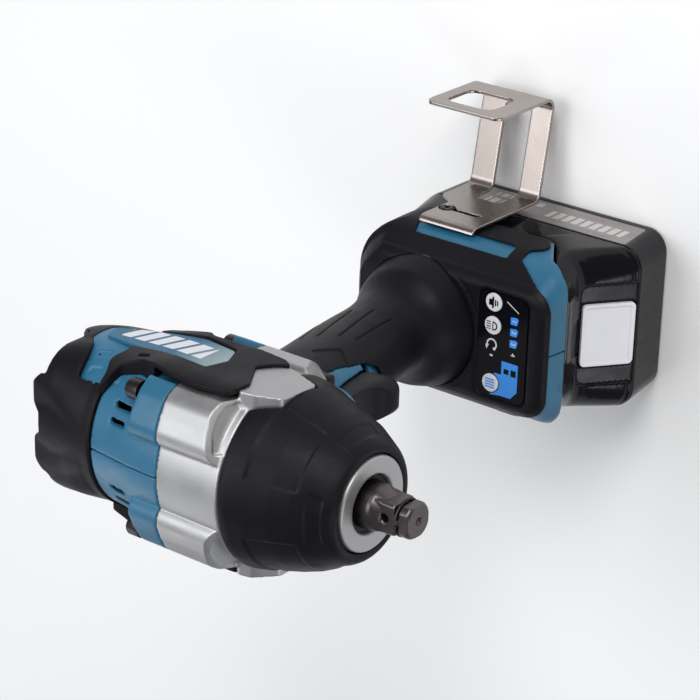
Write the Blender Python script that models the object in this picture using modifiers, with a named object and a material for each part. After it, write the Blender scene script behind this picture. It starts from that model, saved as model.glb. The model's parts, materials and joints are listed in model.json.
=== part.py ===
"""Cordless impact wrench standing on its battery: +X points along the drive, +Z from the battery to the head.

The origin is on the battery's rest face, on the tool's middle plane. Lengths are metres, written as
millimetres times MM.
"""

import math

import bmesh
import bpy
from mathutils import Matrix, Vector

MM = 0.001
GAP = 0.3 * MM  # left between neighbouring pieces

# Head
AXIS_Z = 235.2 * MM  # height of the drive axis
TIP_X = 89.9 * MM  # front end of the square drive
SEAM_X = -6.6 * MM  # between the housing and the hammer case
BORE_R = 33 * MM
BOLT_Y = 29.1 * MM
BOLT_Z = 28.1 * MM
SQUARE = 12.7 * MM  # across the flats of the drive

# Gear train
MODULE = 1.25 * MM
SUN_TEETH = 9
PLANET_TEETH = 15
RING_TEETH = SUN_TEETH + 2 * PLANET_TEETH
PLANET_ORBIT = MODULE * (SUN_TEETH + PLANET_TEETH) / 2
PLANETS = 3

# Foot and battery
CELL_R = 9.1 * MM
CELL_LENGTH = 65 * MM
CELL_PITCH = 18.4 * MM
CELL_FIRST_X = -48.2 * MM
BUTTON_TOP = Vector((37.5 * MM, 0, 49 * MM))
BUTTON_LOW = Vector((52.1 * MM, 0, 29.7 * MM))
BUTTON_HALF_Y = 14.4 * MM

TEAL = (0.03, 0.16, 0.25)
BLACK = (0.018, 0.018, 0.021)


def clear_scene():
    for obj in list(bpy.data.objects):
        bpy.data.objects.remove(obj, do_unlink=True)


def new_collection(name):
    made = bpy.data.collections.new(name)
    bpy.context.scene.collection.children.link(made)
    return made


def new_material(name, colour, roughness, metallic=0.0):
    made = bpy.data.materials.new(name)
    made.use_nodes = True
    shader = made.node_tree.nodes["Principled BSDF"]
    shader.inputs["Base Color"].default_value = (*colour, 1)
    shader.inputs["Roughness"].default_value = roughness
    shader.inputs["Metallic"].default_value = metallic
    return made


clear_scene()
PARTS = new_collection("impact_wrench")
CUTTERS = new_collection("cutters")
AXIS_Y0 = Vector((0, 0, AXIS_Z))


# ---------------------------------------------------------------- making shapes


def add(name, mesh, material, smooth=30):
    """A sub-part, shaded smooth up to the given angle."""
    obj = bpy.data.objects.new(name, mesh)
    PARTS.objects.link(obj)
    shade(obj, material, smooth)
    return obj


def shade(obj, material, smooth=30):
    mesh = obj.data
    mesh.materials.clear()
    mesh.materials.append(new_material(obj.name, *material))
    mesh.shade_smooth()
    mesh.set_sharp_from_angle(angle=math.radians(smooth))


def tool(mesh):
    """A cutter, or a solid that is joined to another."""
    obj = bpy.data.objects.new("tool", mesh)
    CUTTERS.objects.link(obj)
    obj.hide_render = True
    obj.display_type = "WIRE"
    return obj


def boolean(obj, other, operation):
    step = obj.modifiers.new(operation.lower(), "BOOLEAN")
    step.object = other
    step.operation = operation
    step.solver = "EXACT"


def cut(obj, *meshes):
    for mesh in meshes:
        boolean(obj, tool(mesh), "DIFFERENCE")


def join(obj, *meshes):
    for mesh in meshes:
        boolean(obj, tool(mesh), "UNION")


def keep_inside(obj, mesh):
    boolean(obj, tool(mesh), "INTERSECT")


def finished(bm, name="shape"):
    mesh = bpy.data.meshes.new(name)
    bmesh.ops.recalc_face_normals(bm, faces=bm.faces)
    bm.to_mesh(mesh)
    bm.free()
    return mesh


def turn_to(direction):
    """The rotation that takes +Z to a direction, with the shape's own X kept level where it can be."""
    return Vector(direction).to_track_quat("Z", "Y").to_matrix().to_4x4()


def rod(start, end, radius, end_radius=None, segments=24):
    """A cylinder or cone between two points."""
    start, end = Vector(start), Vector(end)
    bm = bmesh.new()
    bmesh.ops.create_cone(
        bm,
        cap_ends=True,
        segments=segments,
        radius1=radius,
        radius2=radius if end_radius is None else end_radius,
        depth=(end - start).length,
        matrix=Matrix.Translation((start + end) / 2) @ turn_to(end - start),
    )
    return finished(bm)


def drum(x0, x1, radius, y=0, z=0, segments=32, end_radius=None):
    """A cylinder along the drive axis, or beside it by y and z."""
    centre = AXIS_Y0 + Vector((0, y, z))
    return rod(centre + Vector((x0, 0, 0)), centre + Vector((x1, 0, 0)), radius, end_radius, segments)


def block(low, high, bevel=0, segments=2):
    """A box between two corners, with its edges rounded."""
    low, high = Vector(low), Vector(high)
    bm = bmesh.new()
    size = high - low
    bmesh.ops.create_cube(bm, size=1,
                          matrix=Matrix.Translation((low + high) / 2) @ Matrix.Diagonal((*size, 1)))
    if bevel:
        bmesh.ops.bevel(
            bm, geom=bm.edges[:], offset=bevel, segments=segments, profile=0.5, affect="EDGES",
            clamp_overlap=True
        )
    return finished(bm)


def ball(centre, radius, segments=16):
    bm = bmesh.new()
    bmesh.ops.create_uvsphere(
        bm, u_segments=segments, v_segments=segments // 2, radius=radius, matrix=Matrix.Translation(centre)
    )
    return finished(bm)


def turned(profile, segments=32):
    """A solid turned about the drive axis from (x, radius) points, along its outside from front to rear."""
    mesh = bpy.data.meshes.new("profile")
    points = [(radius, 0, x) for x, radius in profile]
    edges = [(i, (i + 1) % len(points)) for i in range(len(points))]
    on_axis = [i for i, (x, radius) in enumerate(profile) if radius == 0]
    if len(on_axis) == 2:
        edges = [edge for edge in edges if set(edge) != set(on_axis)]
    mesh.from_pydata(points, edges, [])
    spun = bpy.data.objects.new("profile", mesh)
    CUTTERS.objects.link(spun)
    screw = spun.modifiers.new("screw", "SCREW")
    screw.steps = segments
    screw.render_steps = segments
    screw.use_merge_vertices = True
    screw.merge_threshold = 0.00001
    bpy.context.view_layer.update()
    solid = bpy.data.meshes.new_from_object(spun.evaluated_get(bpy.context.evaluated_depsgraph_get()))
    bpy.data.objects.remove(spun)
    solid.transform(Matrix.Translation(AXIS_Y0) @ Matrix.Rotation(math.radians(90), 4, "Y"))
    return solid


def outline_solid(splines, half, frame):
    """Flat outlines filled to a thickness of twice half; further outlines are holes. frame places it."""
    curve = bpy.data.curves.new("outline", "CURVE")
    curve.dimensions = "2D"
    curve.fill_mode = "BOTH"
    curve.extrude = half
    for points in splines:
        spline = curve.splines.new("POLY")
        spline.points.add(len(points) - 1)
        spline.use_cyclic_u = True
        for point, (u, v) in zip(spline.points, points):
            point.co = (u, v, 0, 1)
    flat = bpy.data.objects.new("outline", curve)
    CUTTERS.objects.link(flat)
    bpy.context.view_layer.update()
    solid = bpy.data.meshes.new_from_object(flat.evaluated_get(bpy.context.evaluated_depsgraph_get()))
    bpy.data.objects.remove(flat)
    bm = bmesh.new()
    bm.from_mesh(solid)
    bmesh.ops.remove_doubles(bm, verts=bm.verts, dist=0.00001)
    bmesh.ops.transform(bm, matrix=frame, verts=bm.verts)
    return finished(bm)


def side_plate(outline, y0, y1, *holes):
    """A plate with its outline in X and Z, between two heights in Y."""
    frame = Matrix.Translation((0, (y0 + y1) / 2, 0)) @ Matrix.Rotation(math.radians(90), 4, "X")
    return outline_solid([outline, *holes], abs(y1 - y0) / 2, frame)


def floor_plate(outline, z0, z1, *holes):
    """A plate with its outline in X and Y, between two heights in Z."""
    return outline_solid([outline, *holes], abs(z1 - z0) / 2, Matrix.Translation((0, 0, (z0 + z1) / 2)))


def cross_plate(outline, x0, x1, *holes):
    """A plate across the drive axis, with its outline in Y and Z counted from the axis."""
    centre = AXIS_Y0 + Vector(((x0 + x1) / 2, 0, 0))
    frame = Matrix.Translation(centre) @ Matrix(((0, 0, 1, 0), (1, 0, 0, 0), (0, 1, 0, 0), (0, 0, 0, 1)))
    return outline_solid([outline, *holes], abs(x1 - x0) / 2, frame)


def mm_points(*points):
    return [(u * MM, v * MM) for u, v in points]


def arc(centre, radius, start, end, steps):
    """Points on an arc, with its angles in degrees."""
    angles = [math.radians(start + (end - start) * i / steps) for i in range(steps + 1)]
    return [(centre[0] + radius * math.cos(a), centre[1] + radius * math.sin(a)) for a in angles]


def rounded_outline(u0, u1, v0, v1, radius, steps=5):
    corners = (
        ((u1 - radius, v1 - radius), 0),
        ((u0 + radius, v1 - radius), 90),
        ((u0 + radius, v0 + radius), 180),
        ((u1 - radius, v0 + radius), 270),
    )
    return [point for centre, start in corners for point in arc(centre, radius, start, start + 90, steps)]


def section(half_u, half_v, radius, steps):
    """A closed ring of points: a rectangle whose corners are quarter ellipses no larger than the radius."""
    round_u = min(radius, 0.998 * half_u)
    round_v = min(radius, 0.998 * half_v)
    ring = []
    for quarter in range(4):
        side_u = 1 if quarter in (0, 3) else -1
        side_v = 1 if quarter < 2 else -1
        for i in range(steps + 1):
            angle = math.radians(90 * (quarter + i / steps))
            u = side_u * (half_u - round_u) + round_u * math.cos(angle)
            v = side_v * (half_v - round_v) + round_v * math.sin(angle)
            ring.append((u, v))
    return ring


def loft(stations, along, steps=6):
    """A solid through unlike rings. A station is (position, centre u, centre v, half u, half v, radius)."""
    bm = bmesh.new()
    rings = []
    for position, centre_u, centre_v, half_u, half_v, radius in stations:
        ring = []
        for u, v in section(half_u, half_v, radius, steps):
            if along == "Z":
                point = (centre_u + u, centre_v + v, position)
            else:
                point = (position, centre_u + u, AXIS_Z + centre_v + v)
            ring.append(bm.verts.new(point))
        rings.append(ring)
    count = len(rings[0])
    for low, high in zip(rings, rings[1:]):
        for i in range(count):
            bm.faces.new((low[i], low[(i + 1) % count], high[(i + 1) % count], high[i]))
    bm.faces.new(rings[0])
    bm.faces.new(rings[-1])
    return finished(bm)


def grown(stations, by):
    """The same stations with every ring larger by a margin."""
    return [(p, cu, cv, hu + by, hv + by, r + by) for p, cu, cv, hu, hv, r in stations]


def scaled(rows):
    """Stations written in millimetres, in metres."""
    return [tuple(value * MM for value in row) for row in rows]


def coil(radius, wire, turns, x0, x1, z=AXIS_Z, per_turn=10):
    """A spring's wire as a solid, wound along X."""
    curve = bpy.data.curves.new("coil", "CURVE")
    curve.dimensions = "3D"
    curve.bevel_depth = wire
    curve.bevel_resolution = 1
    curve.use_fill_caps = True
    spline = curve.splines.new("POLY")
    count = int(turns * per_turn) + 1
    spline.points.add(count - 1)
    for i, point in enumerate(spline.points):
        angle = 2 * math.pi * turns * i / (count - 1)
        x = x0 + (x1 - x0) * i / (count - 1)
        point.co = (x, radius * math.cos(angle), z + radius * math.sin(angle), 1)
    wound = bpy.data.objects.new("coil", curve)
    CUTTERS.objects.link(wound)
    bpy.context.view_layer.update()
    solid = bpy.data.meshes.new_from_object(wound.evaluated_get(bpy.context.evaluated_depsgraph_get()))
    bpy.data.objects.remove(wound)
    bm = bmesh.new()
    bm.from_mesh(solid)
    bmesh.ops.remove_doubles(bm, verts=bm.verts, dist=0.000001)
    return finished(bm)


# ---------------------------------------------------------------- shared outlines

FULL_ROUND = 500  # millimetres: more than any half width, so that a ring is an ellipse

BARREL = scaled(
    [
        (-43.5, 0, 0, 34.2, 34.2, FULL_ROUND),
        (-36, 0, 0, 35, 35, FULL_ROUND),
        (-20.9, 0, 0, 35.4, 35.4, FULL_ROUND),
        (-20.3, 0, 0, 37.3, 37.3, 21),
        (SEAM_X / MM, 0, 0, 37.3, 37.3, 21),
    ]
)
NECK = scaled(
    [
        (186, 2, 0, 22, 14, 12),
        (189, 2, 0, 25, 16.5, 12),
        (198, 1, 0, 26, 18.5, 13),
        (214, -4, 0, 26, 20, 13),
    ]
)
GRIP = scaled(
    [
        (78.6, -26, 0, 29.6, 29.6, FULL_ROUND),
        (81.6, -26, 0, 29.6, 29.6, FULL_ROUND),
        (84.4, -26.1, 0, 28.9, 28.9, FULL_ROUND),
        (88, -26.3, 0, 27.6, 27.7, FULL_ROUND),
        (92, -26.6, 0, 25.8, 26, FULL_ROUND),
        (97, -27, 0, 22.6, 22, FULL_ROUND),
        (103, -27, 0, 20.6, 18.8, FULL_ROUND),
        (112, -25.6, 0, 20.4, 17.2, FULL_ROUND),
        (125, -23.2, 0, 21.6, 17.4, FULL_ROUND),
        (140, -20.8, 0, 22.4, 17.7, FULL_ROUND),
        (155, -18.2, 0, 22.6, 17.9, FULL_ROUND),
        (170, -15.8, 0, 22.6, 18.2, FULL_ROUND),
        (182, -13.6, 0, 23.6, 19, FULL_ROUND),
        (192, -12.6, 0, 25, 20.6, FULL_ROUND),
        (202, -12, 0, 27, 22.6, FULL_ROUND),
        (212, -12, 0, 29, 25, FULL_ROUND),
    ]
)
HANDLE = scaled(
    [
        (74, -26, 0, 21, 21, FULL_ROUND),
        (88, -26.4, 0, 21, 21, FULL_ROUND),
        (97, -27, 0, 19, 18, FULL_ROUND),
        (112, -25.6, 0, 18, 14.8, FULL_ROUND),
        (125, -23.2, 0, 19.2, 15, FULL_ROUND),
        (155, -18.2, 0, 20.2, 15.5, FULL_ROUND),
        (182, -13.6, 0, 21.6, 16.6, FULL_ROUND),
        (206, -12, 0, 25, 20, FULL_ROUND),
    ]
)
FOOT = scaled(
    [
        (45, -13.1, 0, 52.9, 37.2, 10),
        (58, -13.2, 0, 53.8, 37.4, 10),
        (64, -12.9, 0, 53.9, 37, 10),
        (69, -12.5, 0, 53.4, 35, 10),
        (73, -11.9, 0, 52.3, 32.2, 10),
        (76.5, -10.6, 0, 50.4, 29.8, 10),
        (78.3, -9.6, 0, 49, 28.4, 10),
    ]
)
FOOT_LID = scaled(
    [
        (69, -12.5, 0, 54.8, 36.2, 11.3),
        (73, -11.9, 0, 53.6, 33.4, 11.3),
        (76.5, -10.6, 0, 51.8, 31, 11),
        (78.3, -9.8, 0, 50.6, 29.8, 11),
        (80, -8, 0, 48.2, 28.4, 10.5),
        (81.2, -6.6, 0, 45.4, 26.8, 9.5),
        (81.9, -5.4, 0, 41.6, 25, 8),
    ]
)


# ---------------------------------------------------------------- head


def case_clearance():
    """The room under the hammer case and boot that the housing's neck keeps free."""
    return [
        loft(scaled([(SEAM_X / MM, 0, 0, 37.6, 37.6, 21.3), (24.5, 0, 0, 37.6, 37.6, 21.3)]), "X"),
        drum(24.3 * MM, 60 * MM, 39 * MM, segments=48),
    ]


def trigger_outline(margin=0.0):
    """The opening in the soft grip round the trigger, seen from the front, in Y and Z."""
    side = [(15.5, 200), (14.6, 178), (12.4, 165), (10.6, 152), (6.6, 144.6), (0, 142)]
    side = [(y + margin * (y > 0), z - margin) for y, z in side]
    outline = side + [(-y, z) for y, z in side[-2::-1]]
    return [(y * MM, z * MM - AXIS_Z) for y, z in outline]


def trigger_surround():
    """The hard rim that shows between the grip and the trigger, level with the grip."""
    rim = tool(loft(GRIP[10:], "Z", 7))
    boolean(rim, tool(cross_plate(trigger_outline(-0.3), -16 * MM, 30 * MM)), "INTERSECT")
    bpy.context.view_layer.update()
    solid = bpy.data.meshes.new_from_object(rim.evaluated_get(bpy.context.evaluated_depsgraph_get()))
    bpy.data.objects.remove(rim)
    return solid


def vent_slots():
    """Exhaust slots round the cooling fan, two inside each upper bolt."""
    slots = []
    for side in (-1, 1):
        for front, y in ((-24 * MM, 18.6 * MM), (-26.6 * MM, 13 * MM)):
            low, high = sorted((side * y, side * (y + 2.5 * MM)))
            slots.append(block((-34.6 * MM, low, AXIS_Z + 20 * MM), (front, high, AXIS_Z + 40 * MM),
                               0.5 * MM, 1))
    return slots


def make_housing_halves():
    """The clamshell: motor barrel, handle core and foot, split on the middle plane. The right half is the
    left one mirrored, down to the screw hole that takes the hook on either side."""
    half = add("housing_left", loft(BARREL, "X", 8), (TEAL, 0.4))
    foot = tool(loft(FOOT, "Z", 6))
    boolean(foot, tool(floor_plate(plan_outline(0), 30 * MM, 95 * MM)), "INTERSECT")
    boolean(foot, tool(rear_shape(-0.1 * MM)), "INTERSECT")
    boolean(half, foot, "UNION")
    join(half, loft(NECK, "Z", 7), loft(HANDLE, "Z", 7), trigger_surround())
    cut(
        half,
        *case_clearance(),
        drum(-50 * MM, 5 * MM, BORE_R, segments=40),
        loft(grown(HANDLE[1:], -2.6 * MM), "Z", 7),
        block((-60 * MM, -30 * MM, 65.2 * MM), (34 * MM, 30 * MM, 74.6 * MM)),
        block((-22 * MM, -13 * MM, 72 * MM), (-31 * MM, 13 * MM, 92 * MM)),
        block((-64 * MM, -28.9 * MM, 40 * MM), (60 * MM, 28.9 * MM, 62.4 * MM)),
        block((-35.3 * MM, -18 * MM, 60 * MM), (-6.7 * MM, 18 * MM, 68 * MM)),
        side_plate(
            mm_points((18.5, 40), (18.5, 45.4), (29.8, 62.6), (38, 66.6), (60, 66.6), (60, 40)),
            -50 * MM,
            50 * MM,
        ),
        block((-12 * MM, -8.8 * MM, 148.6 * MM), (40 * MM, 8.8 * MM, 189 * MM)),
        block((4.1 * MM, -30 * MM, 190.2 * MM), (15.7 * MM, 30 * MM, 196.3 * MM)),
        block((19.6 * MM, -6.7 * MM, 189.4 * MM), (40 * MM, 6.7 * MM, 195.9 * MM)),
        rod((-35.4 * MM, 30 * MM, 50 * MM), (-35.4 * MM, 45 * MM, 50 * MM), 2.2 * MM, segments=14),
        *vent_slots(),
        *[
            drum(-22 * MM, 0, 2.8 * MM, y=sy * BOLT_Y, z=sz * BOLT_Z, segments=12)
            for sy in (-1, 1)
            for sz in (-1, 1)
        ],
    )
    keep_inside(half, block((-121 * MM, GAP / 2, -3 * MM), (117 * MM, 90 * MM, 303 * MM)))
    bpy.context.view_layer.update()
    other = bpy.data.meshes.new_from_object(half.evaluated_get(bpy.context.evaluated_depsgraph_get()))
    other.transform(Matrix.Diagonal((1, -1, 1, 1)))
    other.flip_normals()
    add("housing_right", other, (TEAL, 0.4))


def make_rear_cap():
    """The soft cap over the motor's end: round below, squarer above, with a notch in each side of its rim."""
    lower = scaled([(x, 0, 0, r, r, FULL_ROUND) for x, r in
                    ((-80.2, 27.6), (-78.4, 29.8), (-76, 30.7), (-70.7, 32.1), (-64.5, 33.3), (-56, 34.3),
                     (-43.8, 35.2))])
    upper = scaled([(-80.2, 0, 0, 28, 27.6, 12), (-78.2, 0, 0, 29.6, 29.2, 13), (-68, 0, 0, 31.6, 31.4, 18),
                    (-58, 0, 0, 33.4, 33.4, 26), (-50, 0, 0, 34.6, 34.6, 33)])
    cap = add("rear_cap", loft(lower, "X", 7), (BLACK, 0.5))
    shoulders = tool(loft(upper, "X", 6))
    boolean(shoulders, tool(block((-90 * MM, -50 * MM, AXIS_Z + 6 * MM),
                                  (-40 * MM, 50 * MM, AXIS_Z + 50 * MM))), "INTERSECT")
    boolean(cap, shoulders, "UNION")
    cavity = mm_points(
        (-43, 0), (-43, 32.9), (-64.6, 32.9), (-67.6, 29), (-71, 25), (-76.6, 23), (-76.6, 13), (-70, 13),
        (-70, 9.8),
        (-76.6, 9.8), (-76.6, 0),
    )
    cut(cap, turned(cavity, 32))
    # The rim's notches: (first angle, last angle, how far forward) across the top, the bottom and both sides.
    for first, last, front_x in ((77, 103, -73.6), (257, 283, -73.6), (4, 56, -71.6), (124, 176, -71.6)):
        notch = arc((0, 0), 50 * MM, first, last, 4) + arc((0, 0), 26.6 * MM, last, first, 4)
        cut(cap, cross_plate(notch, -84 * MM, front_x * MM))
    for side in (-1, 1):
        for z in (-8, 0, 8):
            low, high = sorted((side * 28 * MM, side * 38 * MM))
            cut(cap, block((-62 * MM, low, AXIS_Z + (z - 1.4) * MM),
                           (-51 * MM, high, AXIS_Z + (z + 1.4) * MM)))


def make_bumpers():
    """Soft side guards over the barrel and the rear of the hammer case, with a window for a label."""
    inner = scaled(
        [
            (-44, 0, 0, 34.7, 34.7, FULL_ROUND),
            (-36, 0, 0, 35.4, 35.4, FULL_ROUND),
            (-21.8, 0, 0, 35.9, 35.9, FULL_ROUND),
            (-20.9, 0, 0, 37.7, 37.7, 21.4),
            (20, 0, 0, 37.7, 37.7, 21.4),
        ]
    )
    low_edge = ((20, 14.6), (11.4, 0.4), (19.4, -9.6), (2.6, -13.6), (-20, -12.4), (-24, -15), (-43.4, -14))
    top_edge = {
        1: ((-43.4, 24), (-38.6, 21.2), (-30, 19.2), (-11.8, 24.4), (17.2, 23.8), (19.6, 20.6)),
        -1: ((-43.4, 21.5), (-18, 19), (16.5, 18)),
    }
    window = mm_points((-40.5, 9.4), (-20, 11.6), (-3.4, 12.4), (-0.4, 3.2), (-4.4, -6.4), (-22, -9.8),
                       (-40.5, -7.4))
    for side, name in ((1, "bumper_left"), (-1, "bumper_right")):
        outer = grown(inner[:3], 1.6 * MM) + grown(inner[3:], 2.1 * MM)
        bumper = add(name, loft(outer, "X", 8), (BLACK, 0.5))
        cut(bumper, loft(inner, "X", 8))
        outline = mm_points(*top_edge[side], *low_edge)
        keep_inside(bumper, side_plate([(x, z + AXIS_Z) for x, z in outline], side * 20 * MM,
                                       side * 60 * MM))
        cut(bumper, side_plate([(x, z + AXIS_Z) for x, z in window], side * 20 * MM, side * 60 * MM))


def make_hammer_case():
    case = add(
        "hammer_case",
        loft(
            scaled(
                [
                    (SEAM_X / MM + 0.3, 0, 0, 37.3, 37.3, 21),
                    (18, 0, 0, 37.3, 37.3, 21),
                    (23.4, 0, 0, 36.1, 36.1, 24),
                ]
            ),
            "X",
            8,
        ),
        ((0.42, 0.42, 0.43), 0.34, 0.9),
    )
    nose = ((68.6, 0), (68.6, 19), (64, 19.4), (60.5, 23), (53, 28), (45, 31), (35, 33.6), (25, 35),
            (16, 35), (16, 0))
    cavity = (
        (80, 0), (80, 11.6), (64.2, 11.6), (64.2, 13.2), (43.4, 13.2), (42, 24.5),
        (38.6, 27), (29, 30.4), (20, 31), (8, 31), (6, 33), (-8, 33), (-8, 0),
    )
    join(case, turned([(x * MM, r * MM) for x, r in nose]))
    cut(case, turned([(x * MM, r * MM) for x, r in cavity]))
    for sy in (-1, 1):
        for sz in (-1, 1):
            cut(case, drum(-9 * MM, 13 * MM, 2.8 * MM, y=sy * BOLT_Y, z=sz * BOLT_Z, segments=12))


def make_front_boot():
    """The soft boot pulled over the hammer case's nose."""
    profile = (
        (67.4, 19.5), (67.8, 22.4), (66.4, 24), (61.5, 26.8), (53, 31.2), (45, 34), (35, 36.8), (28, 38.3),
        (24.6, 38.4), (24.6, 35.7), (35, 34), (45, 31.4), (53, 28.4), (60.7, 23.4), (64.2, 19.8),
    )
    add("front_boot", turned([(x * MM, r * MM) for x, r in profile], 36), (BLACK, 0.5))


def make_case_bolts():
    for i, (sy, sz) in enumerate(((1, 1), (1, -1), (-1, -1), (-1, 1)), 1):
        y, z = sy * BOLT_Y, sz * BOLT_Z
        bolt = add(f"case_bolt_{i}", drum(-27.2 * MM, -21.2 * MM, 4.2 * MM, y, z, 16),
                   ((0.03, 0.03, 0.03), 0.4, 0.8))
        join(bolt, drum(-22 * MM, 12 * MM, 2.5 * MM, y, z, 12))
        cut(bolt, drum(-30 * MM, -24.4 * MM, 2.2 * MM, y, z, 6))


# ---------------------------------------------------------------- drive train


def gear_outline(teeth, inside=False):
    """Straight-sided teeth with room between them. An inside gear's tooth points inwards."""
    pitch_r = MODULE * teeth / 2
    crest, root = (pitch_r - 0.9 * MODULE, pitch_r + 1.2 * MODULE) if inside else (
        pitch_r + 0.9 * MODULE, pitch_r - 1.2 * MODULE)
    tooth = 2 * math.pi / teeth
    rows = ((root, -0.36), (pitch_r, -0.22), (crest, -0.11), (crest, 0.11), (pitch_r, 0.22), (root, 0.36))
    points = []
    for i in range(teeth):
        for radius, share in rows:
            angle = tooth * (i + share)
            points.append((radius * math.cos(angle), radius * math.sin(angle)))
    return points


def circle(radius, segments=32):
    return arc((0, 0), radius, 0, 360 - 360 / segments, segments - 1)


def turned_by(points, angle, centre=(0, 0)):
    c, s = math.cos(angle), math.sin(angle)
    return [(centre[0] + c * u - s * v, centre[1] + s * u + c * v) for u, v in points]


def planet_centre(i):
    angle = math.radians(90 + 360 * i / PLANETS)
    return angle, (PLANET_ORBIT * math.cos(angle), PLANET_ORBIT * math.sin(angle))


def make_gears():
    """The sun's first tooth, a planet's gap and the ring's gap lie on a line through the planet's centre."""
    steel = ((0.3, 0.3, 0.31), 0.35, 1.0)
    for i in range(PLANETS):
        angle, centre = planet_centre(i)
        # A planet shows the sun a gap: its teeth are set half a tooth from the direction of the sun.
        teeth = turned_by(gear_outline(PLANET_TEETH), angle + math.pi + math.pi / PLANET_TEETH, centre)
        hole = [(centre[0] + u, centre[1] + v) for u, v in circle(3.3 * MM, 12)]
        add(f"planet_gear_{i + 1}", cross_plate(teeth, -13 * MM, -4 * MM, hole), steel)
        add(
            f"planet_pin_{i + 1}",
            drum(-13.6 * MM, -0.6 * MM, 3 * MM, y=centre[0], z=centre[1], segments=12),
            steel,
        )
    ring = turned_by(gear_outline(RING_TEETH, inside=True), math.radians(90) + ring_phase())
    add("ring_gear", cross_plate(circle(32.6 * MM, 36), -14 * MM, -2.2 * MM, ring), steel)


def ring_phase():
    """Half a tooth where a planet points a tooth at the ring, and none where it shows the ring a gap."""
    # A planet's gap faces the sun. With an odd count a tooth is opposite, and the ring needs a gap there.
    return math.pi / RING_TEETH if PLANET_TEETH % 2 else 0.0


def make_spindle():
    """The carrier and the hammer's spindle, which are one piece, with seats for the cam balls."""
    profile = (
        (41.5, 0), (41.5, 5), (34, 5), (34, 8), (0, 8), (0, 21.4), (-3.2, 21.4), (-3.2, 9), (-3.4, 0),
    )
    spindle = add("spindle", turned([(x * MM, r * MM) for x, r in profile], 28),
                  ((0.35, 0.35, 0.36), 0.3, 1.0))
    for i in range(PLANETS):
        y, z = planet_centre(i)[1]
        cut(spindle, drum(-5 * MM, -0.3 * MM, 3.3 * MM, y=y, z=z, segments=12))
    for side in (-1, 1):
        cut(spindle, ball(AXIS_Y0 + Vector((12 * MM, side * 8.2 * MM, 0)), 2.7 * MM, 10))
        add(f"cam_ball_{1 if side > 0 else 2}",
            ball(AXIS_Y0 + Vector((12 * MM, side * 8.2 * MM, 0)), 2.35 * MM, 10),
            ((0.6, 0.6, 0.6), 0.15, 1.0))


def make_hammer():
    """The sliding hammer: a spring pocket behind, a ball groove in its bore and two jaws in front."""
    body = (
        (27, 8.4), (27, 28), (25.6, 29.6), (11.6, 29.6), (10.4, 28.4), (10.4, 20), (18, 20), (18, 13.4),
        (10.4, 13.4),
        (10.4, 8.4),
    )
    hammer = add("hammer", turned([(x * MM, r * MM) for x, r in body], 28), ((0.2, 0.19, 0.19), 0.45, 1.0))
    for side in (0, 180):
        jaw = arc((0, 0), 26 * MM, side - 24, side + 24, 8) + arc((0, 0), 12.5 * MM, side + 24, side - 24, 5)
        join(hammer, cross_plate(jaw, 26 * MM, 34.4 * MM))
    for side in (-1, 1):
        cut(hammer, drum(8 * MM, 23 * MM, 2.75 * MM, y=side * 8.2 * MM, segments=14))


def make_anvil():
    """The anvil: jaws that the hammer strikes, a round shank and the square drive with its ring groove."""
    shank = (
        (78, 0), (78, 6.2), (72, 9.3), (40, 9.3), (40, 11), (38.4, 11), (38.4, 24), (37.6, 24.6),
        (28.4, 24.6),
        (28.4, 11.4), (35, 11.4), (35, 8.8), (35, 5.3), (42.2, 5.3), (42.2, 0),
    )
    anvil = add("anvil", turned([(x * MM, r * MM) for x, r in shank], 28), ((0.16, 0.13, 0.12), 0.35, 1.0))
    for side in (0, 180):
        room = arc((0, 0), 30 * MM, side - 34, side + 34, 8) + arc((0, 0), 11.4 * MM, side + 34, side - 34,
                                                                   5)
        cut(anvil, cross_plate(room, 27 * MM, 38.4 * MM))
    drive = block((70 * MM, -SQUARE / 2, AXIS_Z - SQUARE / 2), (TIP_X, SQUARE / 2, AXIS_Z + SQUARE / 2))
    join(anvil, drive)
    # The corners of the square are turned down to a cylinder, more so at the tip.
    envelope = ((TIP_X / MM, 0), (TIP_X / MM, 6.5), (88.9, 7.4), (85.4, 7.4), (85.2, 6.55), (83.4, 6.55),
                (83.2, 8.2),
                (74, 9.3), (60, 30), (20, 30), (20, 0))
    keep_inside(anvil, turned([(x * MM, r * MM) for x, r in envelope], 28))
    cut(anvil, rod((78.6 * MM, 0, AXIS_Z - 12 * MM), (78.6 * MM, 0, AXIS_Z + 12 * MM), 1.6 * MM,
                   segments=14))
    cut(anvil, drum(88.9 * MM, 92 * MM, 1.5 * MM, segments=14))


def make_friction_ring():
    ring = add(
        "friction_ring",
        turned([(x * MM, r * MM) for x, r in ((85, 6.9), (85, 7.9), (83.6, 7.9), (83.6, 6.9))], 28),
        ((0.05, 0.05, 0.05), 0.4, 0.9),
    )
    cut(ring, block((80 * MM, -1 * MM, AXIS_Z), (90 * MM, 1 * MM, AXIS_Z + 12 * MM)))


def make_bushing():
    add("anvil_bushing", turned([(x * MM, r * MM) for x,
                                 r in ((63.8, 9.5), (63.8, 12.9), (43.8, 12.9), (43.8, 9.5))], 28),
        ((0.45, 0.3, 0.12), 0.4, 1.0))


def make_hammer_spring():
    add("hammer_spring", coil(16.6 * MM, 1.4 * MM, 3.2, 1.9 * MM, 16.4 * MM),
        ((0.25, 0.25, 0.26), 0.35, 1.0))


# ---------------------------------------------------------------- motor


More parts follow.
